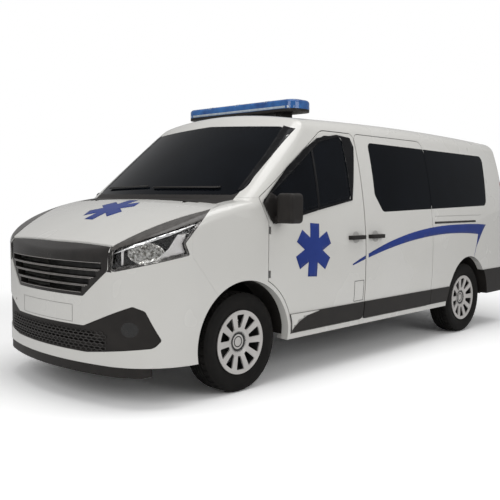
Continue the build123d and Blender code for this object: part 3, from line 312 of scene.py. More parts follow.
door_stripe = lay(flat(stripe(STRIPE_TIP, DOOR_REAR)), SIDE_VIEW, door_panel)
add_pair("door_stripe", door_stripe, blue_film, "driver_door", "passenger_door")
side_panel = surface_of("left_body_side", "sliding_doors")
side_stripe = lay(flat(stripe(SLIDE_FRONT, STRIPE_END, HOOK)), SIDE_VIEW, side_panel)
add_pair("side_stripe", side_stripe, blue_film, "body_shell", "body_shell")


# Seams and slots in the sides: the door rail's slot, the crease under the rear window, the filler flap
# low in the driver's door and the dished cups behind the pull handles.
# They are shadowed steel and black rubber; the shade in the crease and in the cups is painted on as darker
# films, and all show as fine lines and patches on the panels.
def ring(outer, inner):
    """Flat band between two outlines of as many points."""
    shape = bmesh.new()
    edges = []
    for outline in (outer, inner):
        loop = [shape.verts.new((across, up, 0)) for across, up in outline]
        edges.extend(shape.edges.new((loop[spot - 1], loop[spot])) for spot in range(len(loop)))
    bmesh.ops.bridge_loops(shape, edges=edges)
    return shape


def block(low, high, margin=0.0):
    """Corners of an upright rectangle, grown by a margin."""
    return [
        (low[0] - margin, low[1] - margin), (high[0] + margin, low[1] - margin),
        (high[0] + margin, high[1] + margin), (low[0] - margin, high[1] + margin),
    ]


RAIL_SLOT = ((-1.646, 1.075), (-0.852, 1.094))
CREASE = ((-1.763, 1.1415), (-0.86, 1.1445))
FLAP = ((0.262, 0.50), (0.38, 0.654))
SEAM_WIDTH = 0.0035
seam_black = blotched(
    "seam_black", (0.02, 0.019, 0.018), (0.04, 0.038, 0.036),
    patch=20, rough=(0.6, 0.8), grain=500, relief=0.0002,
)
shaded_paint = blotched(
    "shaded_paint", (0.30, 0.295, 0.28), (0.36, 0.355, 0.34),
    patch=6, rough=(0.3, 0.4), grain=320, relief=0.0001,
)
rail_slot = lay(flat(block(*RAIL_SLOT)), SIDE_VIEW, side_panel)
add_pair("rail_slot", rail_slot, seam_black, "body_shell", "body_shell")
# The crease under the rear window is a strip of painted shade on the white paint.
crease = lay(flat(block(*CREASE)), SIDE_VIEW, side_panel)
add_pair("rear_crease", crease, shaded_paint, "body_shell", "body_shell")
flap_seam = lay(ring(block(*FLAP, SEAM_WIDTH), block(*FLAP)), SIDE_VIEW, door_panel)
add_piece("filler_flap_seam", flap_seam, seam_black, "driver_door")

CUP_RADIUS = 0.046
CUP_STEPS = 32
DOOR_CUP = (0.3695, 0.998)
SLIDE_CUP = (0.1035, 0.998)
FINE_PITCH = 0.02


def cup(place):
    """Flat disc of painted shade, for the dish behind a pull handle."""
    shape = bmesh.new()
    bmesh.ops.create_circle(shape, cap_ends=True, segments=CUP_STEPS, radius=CUP_RADIUS)
    bmesh.ops.translate(shape, verts=shape.verts, vec=(*place, 0))
    return shape


# The dish's shade is painted: a disc a good deal darker than the white paint round it.
cup_painted_shade = blotched(
    "cup_painted_shade", (0.40, 0.395, 0.375), (0.52, 0.51, 0.49),
    patch=14, rough=(0.3, 0.4), grain=320, relief=0.0001,
)
door_cup = lay(cup(DOOR_CUP), SIDE_VIEW, surface_of("driver_door"), pitch=FINE_PITCH)
add_pair("door_handle_cup", door_cup, cup_painted_shade, "driver_door", "passenger_door")
slide_cup = lay(cup(SLIDE_CUP), SIDE_VIEW, surface_of("sliding_doors"), pitch=FINE_PITCH)
add_pair("slide_handle_cup", slide_cup, cup_painted_shade, "body_shell", "body_shell")


# Windows: curved toughened glass, deep tinted, bonded or let into rubber at the edge of each opening.
# The rear ones also carry an opaque privacy film, and a black band hides each bond.
PALER_PATCH = 1.5
GLASS_SHINE = 0.07


def tinted(name, tone, see_through):
    """Near-black glass that lets a little light through."""
    return blotched(
        name, tone, tuple(PALER_PATCH * part for part in tone), patch=3, rough=(0.03, 0.06),
        sockets={"Specular IOR Level": GLASS_SHINE, "Alpha": 1.0 - see_through},
    )


cab_glass = tinted("cab_glass", (0.004, 0.005, 0.007), see_through=0.06)
coat(cab_glass, "windscreen", "driver_door_glass", "passenger_door_glass")
filmed_glass = tinted("filmed_glass", (0.002, 0.003, 0.005), see_through=0.01)
coat(filmed_glass, "side_windows", "tailgate_glass")

WAIST_Z = 0.76
WAIST_Y = 0.978
SIDE_BOW = 3.66
SKIN_FOOT = (0.2, 1.08)
SKIN_TOP = (1.46, 1.84)
SKIN_STEPS = (10, 40)
GRID_HALF = 0.5


def side_skin():
    """Unbroken outer surface of the door's upper half, bowed in above the waist, openings closed."""
    skin = bmesh.new()
    bmesh.ops.create_grid(skin, x_segments=SKIN_STEPS[0], y_segments=SKIN_STEPS[1], size=GRID_HALF)
    for vert in skin.verts:
        x = SKIN_FOOT[0] + (vert.co.x + GRID_HALF) * (SKIN_TOP[0] - SKIN_FOOT[0])
        z = SKIN_FOOT[1] + (vert.co.y + GRID_HALF) * (SKIN_TOP[1] - SKIN_FOOT[1])
        y = WAIST_Y - SIDE_BOW + math.sqrt(SIDE_BOW ** 2 - (z - WAIST_Z) ** 2)
        vert.co = (x, y, z)
    tree = BVHTree.FromBMesh(skin)
    skin.free()
    return tree


DOOR_BAND_OUTER = (
    (1.408, 1.268), (1.317, 1.352), (1.112, 1.520), (0.901, 1.652), (0.714, 1.747), (0.464, 1.788),
    (0.296, 1.774), (0.268, 1.704), (0.385, 1.284), (0.819, 1.212), (1.142, 1.150), (1.320, 1.124),
)
DOOR_BAND_INNER = (
    (1.386, 1.284), (1.300, 1.339), (1.090, 1.473), (0.880, 1.606), (0.700, 1.720), (0.470, 1.767),
    (0.412, 1.767), (0.4055, 1.700), (0.4055, 1.297), (0.819, 1.229), (1.142, 1.176), (1.314, 1.147),
)
DIVIDER = ((0.792, 1.228), (0.815, 1.225), (0.815, 1.655), (0.792, 1.668))
SCREEN_BAND = (
    (0.775, 1.345), (0.812, 1.36), (0.808, 1.60), (0.798, 1.805), (0.700, 1.832), (0.745, 1.62),
)
BAND_LIFT = 0.0015
BAND_THICK = 0.0015
DIVIDER_LIFT = -0.004
DIVIDER_THICK = 0.003
WINDOW_PITCH = 0.03
bond_black = blotched(
    "bond_black", (0.006, 0.006, 0.007), (0.01, 0.01, 0.011),
    patch=12, rough=(0.12, 0.2), grain=300, relief=0.00005, sockets={"Specular IOR Level": 0.1},
)
door_surface = side_skin()
door_band = lay(
    ring(DOOR_BAND_OUTER, DOOR_BAND_INNER), SIDE_VIEW, door_surface, BAND_LIFT, BAND_THICK, WINDOW_PITCH
)
add_pair("door_window_band", door_band, bond_black, "driver_door", "passenger_door")
divider = lay(flat(DIVIDER), SIDE_VIEW, door_surface, DIVIDER_LIFT, DIVIDER_THICK, WINDOW_PITCH)
add_pair("door_window_divider", divider, bond_black, "driver_door", "passenger_door")
pillar_skin = surface_of("windscreen", "left_body_side", "roof_panel")
screen_band = lay(flat(SCREEN_BAND), FRONT_VIEW, pillar_skin, pitch=FINE_PITCH)
add_pair("screen_band", screen_band, bond_black, "body_shell", "body_shell")


# Black plastic: grained mouldings in the mass, clipped or screwed to the panels.
# The sills, bumper insert, mirrors and rear bumper are left unpainted, except that paint rounds off
# the front end of each door's sill.
black_plastic = blotched(
    "black_plastic", (0.016, 0.014, 0.013), (0.024, 0.021, 0.019),
    patch=9, rough=(0.42, 0.55), grain=900, relief=0.0003, fold=0.003, sockets={"Specular IOR Level": 0.25},
)
MOULDINGS = (
    "bumper_insert", "scuttle_panel", "rear_bumper", "body_cladding", "light_bar_base", "driver_door_trim",
    "passenger_door_trim", "driver_door_mirror", "passenger_door_mirror", "wheel_arch_liners",
)
coat(black_plastic, *MOULDINGS)
MIRROR_FOOT = (
    (1.406, 1.262), (1.345, 1.150), (1.300, 1.122), (1.130, 1.158), (1.180, 1.270), (1.325, 1.338),
)
FOOT_LIFT = 0.003
FOOT_THICK = 0.004
mirror_foot = lay(flat(MIRROR_FOOT), SIDE_VIEW, door_surface, FOOT_LIFT, FOOT_THICK, WINDOW_PITCH)
add_pair("mirror_foot", mirror_foot, black_plastic, "driver_door", "passenger_door")
SILL_NOSE = (
    (1.1385, 0.347), (1.1385, 0.4815), (0.823, 0.4815), (0.823, 0.475), (0.96, 0.456), (1.042, 0.422),
    (1.102, 0.379), (1.134, 0.347),
)
sill_nose = lay(flat(SILL_NOSE), SIDE_VIEW, surface_of("driver_door_trim"), pitch=FINE_PITCH)
add_pair("sill_nose", sill_nose, white_paint, "driver_door", "passenger_door")


# Lower air intake: a moulded honeycomb of flattened cells stretched across the slots of the insert.
# It follows the bow of the nose between the insert's upper and lower rails, with a black sheet behind.
MESH_HALF = 0.56
MESH_LOW = 0.340
MESH_HIGH = 0.476
MESH_LIFT = 0.001
MESH_THICK = 0.004
UNCUT = 1.0
CELL_PITCH = 0.045
CELL_START = 0.25
CELL_SHIFT = 0.5
CELL_WALL = 0.0028
ROW_PITCH = 0.0185
HEXAGON_WIDTH = math.sqrt(3)
HEXAGON_ROWS = 1.5
GUIDE_STEPS = 40
MERGE = 0.0002
insert_skin = surface_of("bumper_insert")
guide = bmesh.new()
bmesh.ops.create_grid(guide, x_segments=GUIDE_STEPS, y_segments=1, size=1.0)
for vert in guide.verts:
    height = MESH_HIGH if vert.co.y > 0 else MESH_LOW
    ahead = Vector((cad_high[0], vert.co.x * (MESH_HALF + CELL_PITCH), height))
    hit = insert_skin.ray_cast(ahead + Vector((1, 0, 0)), Vector((-1, 0, 0)))[0]
    vert.co = insert_skin.find_nearest(ahead)[0] if hit is None else hit
mesh_guide = BVHTree.FromBMesh(guide)
guide.free()

honeycomb = bmesh.new()
rows = round((MESH_HIGH - MESH_LOW) / ROW_PITCH)
columns = round(2 * MESH_HALF / CELL_PITCH)
for row in range(rows):
    for column in range(columns):
        across = -MESH_HALF + (column + CELL_START + CELL_SHIFT * (row % 2)) * CELL_PITCH
        up = MESH_LOW + (row + 0.5) * ROW_PITCH
        stretch = Matrix.Diagonal((CELL_PITCH / HEXAGON_WIDTH, ROW_PITCH / HEXAGON_ROWS, 1, 1))
        cell = Matrix.Translation((across, up, 0)) @ stretch
        bmesh.ops.create_circle(honeycomb, cap_ends=True, segments=6, radius=1, matrix=cell)
holes = honeycomb.faces[:]
bmesh.ops.inset_individual(honeycomb, faces=holes, thickness=CELL_WALL)
bmesh.ops.delete(honeycomb, geom=holes, context="FACES_ONLY")
bmesh.ops.remove_doubles(honeycomb, verts=honeycomb.verts[:], dist=MERGE)
intake_mesh = lay(honeycomb, FRONT_VIEW, mesh_guide, MESH_LIFT, MESH_THICK, UNCUT)

BACKING = ((-0.585, 0.338), (0.585, 0.478))
BACKING_LIFT = -0.034
BACKING_THICK = 0.003
BACKING_PITCH = 0.05
backing = lay(flat(block(*BACKING)), FRONT_VIEW, mesh_guide, BACKING_LIFT, BACKING_THICK, BACKING_PITCH)
add_piece("intake_backing", backing, black_plastic, "body_shell")
mesh_black = blotched(
    "mesh_black", (0.03, 0.027, 0.025), (0.045, 0.041, 0.038),
    patch=12, rough=(0.35, 0.5), grain=900, relief=0.0002,
)
add_piece("intake_mesh", intake_mesh, mesh_black, "body_shell")


# Radiator grille: a gloss-black moulding of slots, with a fine satin line along the lips of each bar.
# It is clipped between the headlamps, with a black cheek at each end and a plain middle.
gloss_black = blotched(
    "gloss_black", (0.022, 0.020, 0.019), (0.034, 0.031, 0.029),
    patch=8, rough=(0.22, 0.3), grain=500, relief=0.0001, sockets={"Specular IOR Level": 0.3},
)
coat(gloss_black, "radiator_grille")
satin_line = blotched(
    "satin_line", (0.34, 0.32, 0.30), (0.46, 0.44, 0.42),
    patch=20, rough=(0.25, 0.35), grain=300, relief=0.0001, sockets={"Metallic": 0.5},
)
LIP_HALF = 0.0016
LIP_HEIGHTS_AND_REACHES = (
    (0.7035, 0.37), (0.7455, 0.41), (0.7525, 0.43), (0.7955, 0.46), (0.8025, 0.48), (0.8455, 0.52),
    (0.8525, 0.53), (0.8955, 0.54),
)
lips = [block((-reach, z - LIP_HALF), (reach, z + LIP_HALF)) for z, reach in LIP_HEIGHTS_AND_REACHES]
grille_lips = lay(flat(*lips), FRONT_VIEW, surface_of("radiator_grille"))
add_piece("grille_lips", grille_lips, satin_line, "body_shell")
CHEEK = ((0.588, 0.845), (0.622, 0.842), (0.630, 1.078), (0.598, 1.064))
cheek = lay(flat(CHEEK), FRONT_VIEW, surface_of("front_bumper", "radiator_grille"), pitch=FINE_PITCH)
add_pair("grille_cheek", cheek, gloss_black, "body_shell", "body_shell")


# Number-plate recess: a shallow blank rectangle pressed into the painted bumper above the intake.
# Its edge is a fine line of painted shade, a little darker than the paint round it.
PLATE = ((-0.30, 0.515), (0.30, 0.62))
PLATE_LINE = 0.0025
bumper_skin = surface_of("front_bumper", "bumper_insert", "radiator_grille")
plate_line = lay(ring(block(*PLATE, PLATE_LINE), block(*PLATE)), FRONT_VIEW, bumper_skin)
add_piece("plate_outline", plate_line, shaded_paint, "body_shell")


# Headlamps: chromed plastic housings behind clear lenses, each with a smoked upper band, a bright blade,
# a faceted main reflector and a pale outer light guide; plain fog lamps sit in the insert.
lamp_chrome = blotched(
    "lamp_chrome", (0.10, 0.095, 0.09), (0.30, 0.29, 0.28),
    patch=26, rough=(0.12, 0.3), grain=60, relief=0.0008, sockets={"Metallic": 1.0},
)
fog_glass = blotched(
    "fog_glass", (0.008, 0.008, 0.008), (0.018, 0.017, 0.016),
    patch=30, rough=(0.08, 0.16), grain=120, relief=0.0006,
)
FOG_TOP = 0.6
coat(lamp_chrome, "front_lamps")
part_coat(fog_glass, "front_lamps", lambda face: face.center.z < FOG_TOP)

clear_lens = blotched(
    "clear_lens", (0.9, 0.91, 0.92), (0.95, 0.95, 0.96),
    patch=5, rough=(0.01, 0.03), sockets={"Transmission Weight": 1.0, "IOR": 1.12},
)
smoked_plastic = blotched(
    "smoked_plastic", (0.05, 0.046, 0.042), (0.10, 0.092, 0.085),
    patch=18, rough=(0.2, 0.3), grain=400, relief=0.0001,
)
SMOKE_START = (-1.25, 0.978)
SMOKE_RISE = 0.34


def is_smoked(face):
    """Whether a lens face lies above the band's lower edge, seen along the van's corner."""
    across = (abs(face.center.y) - face.center.x) / math.sqrt(2)
    return face.center.z > SMOKE_START[1] + SMOKE_RISE * (across - SMOKE_START[0])


coat(clear_lens, "headlamp_lenses")
part_coat(smoked_plastic, "headlamp_lenses", is_smoked)

LAMP_VIEW = ((-1, 1, 0), (0, 0, 1), (-1, -1, 0))
LAMP_DEEPEST = 2.3
LAMP_THICK = 0.0012
BLADE = (
    (-1.250, 0.954), (-1.127, 0.995), (-0.905, 1.069), (-0.740, 1.140), (-0.905, 1.087), (-1.127, 1.011),
)
bright_chrome = blotched(
    "bright_chrome", (0.8, 0.8, 0.8), (0.9, 0.9, 0.9),
    patch=18, rough=(0.08, 0.16), grain=400, relief=0.00005, sockets={"Metallic": 0.8},
)
lens_skin = surface_of("headlamp_lenses")
lens_blade = lay(flat(BLADE), LAMP_VIEW, lens_skin, pitch=FINE_PITCH, deepest=LAMP_DEEPEST)
add_pair("lens_blade", lens_blade, bright_chrome, "body_shell", "body_shell")

pale_guide = blotched(
    "pale_guide", (0.62, 0.60, 0.58), (0.72, 0.70, 0.68),
    patch=9, rough=(0.15, 0.25), grain=300, relief=0.0001,
)
lamp_black = blotched(
    "lamp_black", (0.008, 0.008, 0.008), (0.02, 0.019, 0.018),
    patch=12, rough=(0.2, 0.35), grain=300, relief=0.0001,
)
BEZEL_LIFT = 0.0010
GUIDE_LIFT = 0.0045
BEZEL = ((-1.258, 0.866), (-0.818, 0.958), (-0.838, 1.020), (-0.745, 1.118), (-1.242, 0.968))
OUTER_GUIDE = (
    (-0.865, 1.072), (-0.795, 1.082), (-0.838, 1.020), (-0.818, 0.962), (-0.985, 0.922), (-0.915, 0.99),
)
INNER_WALL = ((-1.200, 0.885), (-1.188, 0.890), (-1.180, 1.030), (-1.200, 1.030))
LAMP_FORMS = (
    ("lamp_bezel", lamp_black, BEZEL_LIFT, BEZEL),
    ("lamp_outer_guide", pale_guide, GUIDE_LIFT, OUTER_GUIDE),
    ("lamp_inner_wall", pale_guide, GUIDE_LIFT, INNER_WALL),
)
lamp_back = surface_of("front_lamps")
for name, finish, lift, outline in LAMP_FORMS:
    form = lay(flat(outline), LAMP_VIEW, lamp_back, lift, LAMP_THICK, FINE_PITCH, LAMP_DEEPEST)
    add_pair(name, form, finish, "body_shell", "body_shell")

BOWL_PLACE = (-1.050, 0.958)
BOWL_RADIUS = (0.112, 0.068)
BOWL_FACETS = 18
BOWL_RING = 0.33
BOWL_LIFT = 0.003
BOWL_PITCH = 0.012
facet_chrome = blotched(
    "facet_chrome", (0.12, 0.11, 0.09), (0.85, 0.84, 0.8),
    patch=60, rough=(0.1, 0.2), grain=45, relief=0.004, sockets={"Metallic": 1.0},
)
bowl = bmesh.new()
bmesh.ops.create_circle(bowl, cap_ends=True, segments=BOWL_FACETS, radius=1)
bmesh.ops.inset_region(bowl, faces=bowl.faces[:], thickness=BOWL_RING)
core = [face for face in bowl.faces if len(face.verts) == BOWL_FACETS]
bmesh.ops.inset_region(bowl, faces=core, thickness=BOWL_RING)
oval = Matrix.Translation((*BOWL_PLACE, 0)) @ Matrix.Diagonal((*BOWL_RADIUS, 1, 1))
bmesh.ops.transform(bowl, matrix=oval, verts=bowl.verts)
lamp_bowl = lay(bowl, LAMP_VIEW, lamp_back, BOWL_LIFT, LAMP_THICK, BOWL_PITCH, LAMP_DEEPEST)
add_pair("lamp_bowl", lamp_bowl, facet_chrome, "body_shell", "body_shell")


# Tail lamps: red plastic lenses round the rear corners, screwed to the body sides, each with a clear
# reversing pane and an amber pane moulded into the stack.
red_lens = blotched(
    "red_lens", (0.35, 0.012, 0.014), (0.5, 0.02, 0.02),
    patch=30, rough=(0.08, 0.14), grain=90, relief=0.0005, sockets={"Coat Weight": 0.6},
)
coat(red_lens, "tail_lamps")
amber_lens = blotched(
    "amber_lens", (0.55, 0.16, 0.01), (0.7, 0.24, 0.02),
    patch=40, rough=(0.08, 0.14), grain=90, relief=0.0005,
)
frosted_lens = blotched(
    "frosted_lens", (0.62, 0.62, 0.62), (0.74, 0.74, 0.75),
    patch=40, rough=(0.1, 0.18), grain=90, relief=0.0005,
)
TAIL_VIEW = ((-1, -1, 0), (0, 0, 1), (1, -1, 0))
AMBER_PANE = ((0.988, 1.25), (1.122, 1.345))
REVERSING_PANE = ((0.988, 1.13), (1.122, 1.225))
tail_skin = surface_of("tail_lamps")
for name, finish, corners in (
    ("amber_pane", amber_lens, AMBER_PANE), ("reversing_pane", frosted_lens, REVERSING_PANE),
):
    pane = lay(flat(block(*corners)), TAIL_VIEW, tail_skin, pitch=FINE_PITCH)
    add_pair(name, pane, finish, "body_shell", "body_shell")


# Light bar: a blue translucent moulding over lamp modules, on a black tray with two feet.
# Clear clamp bands part it into four lengths, and a clear skirt runs along its lower edge.
blue_lens = blotched(
    "blue_lens", (0.006, 0.06, 0.24), (0.02, 0.14, 0.42),
    patch=14, rough=(0.08, 0.14), grain=45, relief=0.0006, sockets={"Coat Weight": 0.5},
)
coat(blue_lens, "light_bar_lens")
clear_skirt = blotched(
    "clear_skirt", (0.30, 0.36, 0.42), (0.48, 0.54, 0.6),
    patch=22, rough=(0.08, 0.15), grain=60, relief=0.0004,
)
BACK_VIEW = ((0, 1, 0), (0, 0, 1), (1, 0, 0))
BAR_X = (0.478, 0.722)
BAR_MIDDLE_X = 0.6
CLAMPS = (-0.335, -0.31, -0.0125, 0.0125, 0.31, 0.335)
CLAMP_HALF = 0.004
CLAMP_LIFT = 0.0016
CLAMP_THICK = 0.001
SKIRT = ((-0.60, 1.993), (0.60, 2.010))
bar_skin = surface_of("light_bar_lens")
clamps = [block((BAR_X[0], y - CLAMP_HALF), (BAR_X[1], y + CLAMP_HALF)) for y in CLAMPS]
clamp_bands = lay(flat(*clamps), TOP_VIEW, bar_skin, CLAMP_LIFT, CLAMP_THICK, FINE_PITCH)
add_piece("light_bar_clamps", clamp_bands, clear_skirt, "body_shell")
for name, skirt_view in (("front", FRONT_VIEW), ("rear", BACK_VIEW)):
    skirt = lay(flat(block(*SKIRT)), skirt_view, bar_skin, deepest=FAR + BAR_MIDDLE_X)
    add_piece("light_bar_skirt_" + name, skirt, clear_skirt, "body_shell")


# Mirrors: silvered glass let into the rear of each black mirror head.
# The pane is a thin flat sheet held by a plastic rim.
silvered_glass = blotched(
    "silvered_glass", (0.75, 0.76, 0.77), (0.82, 0.83, 0.84),
    patch=5, rough=(0.01, 0.03), sockets={"Metallic": 1.0},
)
MIRROR_PANE = ((1.010, 1.150), (1.122, 1.312))
MIRROR_FRONT_X = 1.32
mirror_back = surface_of("driver_door_mirror")
mirror_pane = lay(
    flat(block(*MIRROR_PANE)), BACK_VIEW, mirror_back, pitch=WINDOW_PITCH, deepest=FAR + MIRROR_FRONT_X
)
add_pair("mirror_pane", mirror_pane, silvered_glass, "driver_door", "passenger_door")


# Wipers: two black arms that park along the foot of the windscreen, each with a rubber blade.
# They are pressed steel, painted black, on spindles under the scuttle.
WIPERS = (
    ((-0.66, 1.362), (-0.05, 1.378), (-0.05, 1.386), (-0.66, 1.374)),
    ((0.02, 1.368), (0.64, 1.366), (0.64, 1.378), (0.02, 1.376)),
)
WIPER_LIFT = 0.014
WIPER_THICK = 0.008
wipers = lay(flat(*WIPERS), FRONT_VIEW, surface_of("windscreen"), WIPER_LIFT, WIPER_THICK)
add_piece("wiper_blades", wipers, black_plastic, "body_shell")


# Cab and patient space: moulded dashboard and bulkhead, rubber floor and a stretcher of satin tube.
# Everything is screwed to the floor and the bulkhead.
cab_plastic = blotched(
    "cab_plastic", (0.04, 0.04, 0.042), (0.055, 0.055, 0.058),
    patch=8, rough=(0.5, 0.65), grain=800, relief=0.0003,
)
coat(cab_plastic, "dashboard", "steering_wheel", "bulkhead", "seat_bases")
satin_alloy = blotched(
    "satin_alloy", (0.6, 0.6, 0.62), (0.7, 0.7, 0.72),
    patch=11, rough=(0.28, 0.4), grain=250, relief=0.0001, sockets={"Metallic": 1.0},
)
coat(satin_alloy, "stretcher")
floor_rubber = blotched(
    "floor_rubber", (0.14, 0.145, 0.15), (0.2, 0.2, 0.21),
    patch=5, rough=(0.6, 0.75), grain=90, relief=0.0012,
)
coat(floor_rubber, "floor_pan")


# Front seats: foam pads under woven covers, a cushion and a back for each of three places.
# The covers are sewn along the edges and pull in between the corners.
PAD_ROUND = 0.3
PAD_ROUND_STEPS = 3
PAD_PRESSURE = 4.0
PAD_FRAMES = 20


def padding(low, high, lean=0.0):
    """Rounded block of foam whose top leans back by a given amount."""
    shape = bmesh.new()
    bmesh.ops.create_cube(shape, size=1)
    size = Vector(high) - Vector(low)
    bmesh.ops.scale(shape, vec=size, verts=shape.verts)
    bmesh.ops.bevel(
        shape, geom=shape.edges[:], offset=PAD_ROUND * min(size), affect="EDGES", segments=PAD_ROUND_STEPS,
        profile=0.5, material=-1,
    )
    bmesh.ops.translate(shape, verts=shape.verts, vec=(Vector(high) + Vector(low)) / 2)
    for vert in shape.verts:
        vert.co.x -= lean * (vert.co.z - low[2]) / size.z
    return shape


def baked(pad):
    """Mesh of a pad as its modifiers leave it, which are then taken off."""
    mesh = bpy.data.meshes.new_from_object(pad.evaluated_get(bpy.context.evaluated_depsgraph_get()))
    pad.modifiers.clear()
    return mesh


def swell(pad, voxel, limit):
    """Even out a pad's mesh, let cloth under pressure bulge it and hold each point near its start."""
    even = pad.modifiers.new("even", "REMESH")
    even.mode = "VOXEL"
    even.voxel_size = voxel
    pad.data = baked(pad)
    starts = [vertex.co.copy() for vertex in pad.data.vertices]
    cover = pad.modifiers.new("cover", "CLOTH")
    cover.settings.use_pressure = True
    cover.settings.uniform_pressure_force = PAD_PRESSURE
    cover.settings.effector_weights.gravity = 0.0
    for count in range(1, PAD_FRAMES + 1):
        bpy.context.scene.frame_set(count)
    full = baked(pad)
    for vertex, start in zip(full.vertices, starts):
        move = vertex.co - start
        if move.length > limit:
            vertex.co = start + move * (limit / move.length)
    pad.data = full
    bpy.context.scene.frame_set(1)
    full.shade_smooth()


def add_pad(name, shapes, finish, node, body, voxel, limit):
    """Join blocks of foam into one padded piece that stands for a CAD pad."""
    joined = bmesh.new()
    for shape in shapes:
        part = bpy.data.meshes.new("part")
        shape.to_mesh(part)
        shape.free()
        joined.from_mesh(part)
        bpy.data.meshes.remove(part)
    pad = add_piece(name, joined, finish, body)
    swell(pad, voxel, limit)
    finer = pad.modifiers.new("finer", "SUBSURF")
    finer.levels = 1
    finer.render_levels = 1
    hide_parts(node)


seat_cloth = blotched(
    "seat_cloth", (0.03, 0.032, 0.038), (0.05, 0.052, 0.06),
    patch=40, rough=(0.8, 0.95), grain=500, relief=0.0006,
)
SEAT_MIDDLES_AND_HALVES = ((0.43, 0.235), (-0.122, 0.205), (-0.538, 0.205))
CUSHION_X = (0.500, 0.948)
CUSHION_Z = (0.712, 0.838)
BACK_X = (0.490, 0.585)
BACK_Z = (0.862, 1.468)
BACK_LEAN = 0.175
SEAT_VOXEL = 0.018
SEAT_SWELL = 0.010
pads = []
for middle, half in SEAT_MIDDLES_AND_HALVES:
    right, left = middle - half, middle + half
    pads.append(padding((CUSHION_X[0], right, CUSHION_Z[0]), (CUSHION_X[1], left, CUSHION_Z[1])))
    pads.append(padding((BACK_X[0], right, BACK_Z[0]), (BACK_X[1], left, BACK_Z[1]), BACK_LEAN))
add_pad(
    "front_seat_pads", pads, seat_cloth, "front_seats", "body_shell", SEAT_VOXEL, SEAT_SWELL
)


# Mattress: a foam slab in a wipe-clean coated cover, laid on the stretcher.
# The cover is welded round its edges and swells a little between them.
coated_cover = blotched(
    "coated_cover", (0.02, 0.04, 0.11), (0.03, 0.055, 0.14),
    patch=7, rough=(0.35, 0.5), grain=300, relief=0.0003,
)
MATTRESS_FOOT = (-2.108, -0.298, 0.816)
MATTRESS_HEAD = (-0.272, 0.198, 0.872)
MATTRESS_VOXEL = 0.014
MATTRESS_SWELL = 0.006
add_pad(
    "mattress_pad", [padding(MATTRESS_FOOT, MATTRESS_HEAD)], coated_cover, "stretcher_mattress",
    "body_shell", MATTRESS_VOXEL, MATTRESS_SWELL,
)


# Running gear: satin black pressings, cast iron and dull steel under the floor.
# The parts are bolted to the subframe, axle and floor.
chassis_black = blotched(
    "chassis_black", (0.012, 0.012, 0.012), (0.03, 0.029, 0.028),
    patch=6, rough=(0.4, 0.65), grain=200, relief=0.0004,
)
coat(chassis_black, "front_subframe", "rear_axle", "fuel_tank")
cast_iron = blotched(
    "cast_iron", (0.12, 0.12, 0.12), (0.2, 0.195, 0.19),
    patch=10, rough=(0.5, 0.7), grain=150, relief=0.001, sockets={"Metallic": 0.7},
)
coat(cast_iron, "engine", "left_knuckle", "right_knuckle", "panel_hinges")
pipe_steel = blotched(
    "pipe_steel", (0.2, 0.17, 0.15), (0.36, 0.33, 0.3),
    patch=9, rough=(0.35, 0.6), grain=120, relief=0.0004, sockets={"Metallic": 1.0},
)
coat(pipe_steel, "exhaust")


# Wheels: steel discs with silver plastic covers of ten spokes, pressed onto the hubs.
# The covers are sprayed silver and lacquered, and a dark line rings each cap; the wheel behind the covers
# is coloured near-black as painted shade.
def hub_of(name):
    """Middle of a wheel or tyre."""
    low, high = (Vector(corner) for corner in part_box(name))
    return (low + high) / 2


silver_cover = blotched(
    "silver_cover", (0.58, 0.56, 0.54), (0.66, 0.64, 0.62),
    patch=12, rough=(0.3, 0.4), grain=400, relief=0.0001, sockets={"Metallic": 0.4},
)
# Near-black: painted shade on the wheel behind the covers, and the dark line round each cap.
rim_shade_and_cap_line = blotched(
    "rim_shade_and_cap_line", (0.012, 0.012, 0.012), (0.03, 0.029, 0.028),
    patch=15, rough=(0.5, 0.7), grain=200, relief=0.0003,
)
CORNERS = ("front_left", "front_right", "rear_left", "rear_right")
COVER_DEEP = 0.024
CAP_RADIUS = 0.05


def behind_cover(face, hub, cover_y):
    """Whether a face of a wheel lies behind its cover, away from the cap, where painted shade goes."""
    spoke = face.center - hub
    return abs(face.center.y) < cover_y - COVER_DEEP and math.hypot(spoke.x, spoke.z) > CAP_RADIUS


for corner in CORNERS:
    wheel = corner + "_wheel"
    wheel_hub = hub_of(wheel)
    outer_y = max(abs(vertex.co.y) for vertex in nodes[wheel].data.vertices)
    coat(silver_cover, wheel)
    # Faces behind the cover are coloured near-black as painted shade in the gaps between the spokes.
    part_coat(rim_shade_and_cap_line, wheel, lambda face: behind_cover(face, wheel_hub, outer_y))

CAP_RING_OUTER = 0.038
CAP_RING_INNER = 0.031
CAP_RING_STEPS = 40


def circle(middle, radius):
    """Points round a cap, seen from the side."""
    turns = [2 * math.pi * step / CAP_RING_STEPS for step in range(CAP_RING_STEPS)]
    return [(middle.x + radius * math.cos(turn), middle.z + radius * math.sin(turn)) for turn in turns]


for end in ("front", "rear"):
    left_wheel, right_wheel = end + "_left_wheel", end + "_right_wheel"
    cap = hub_of(left_wheel)
    cap_line = ring(circle(cap, CAP_RING_OUTER), circle(cap, CAP_RING_INNER))
    cap_ring = lay(cap_line, SIDE_VIEW, surface_of(left_wheel), pitch=FINE_PITCH)
    add_pair(end + "_cap_ring", cap_ring, rim_shade_and_cap_line, left_wheel, right_wheel)


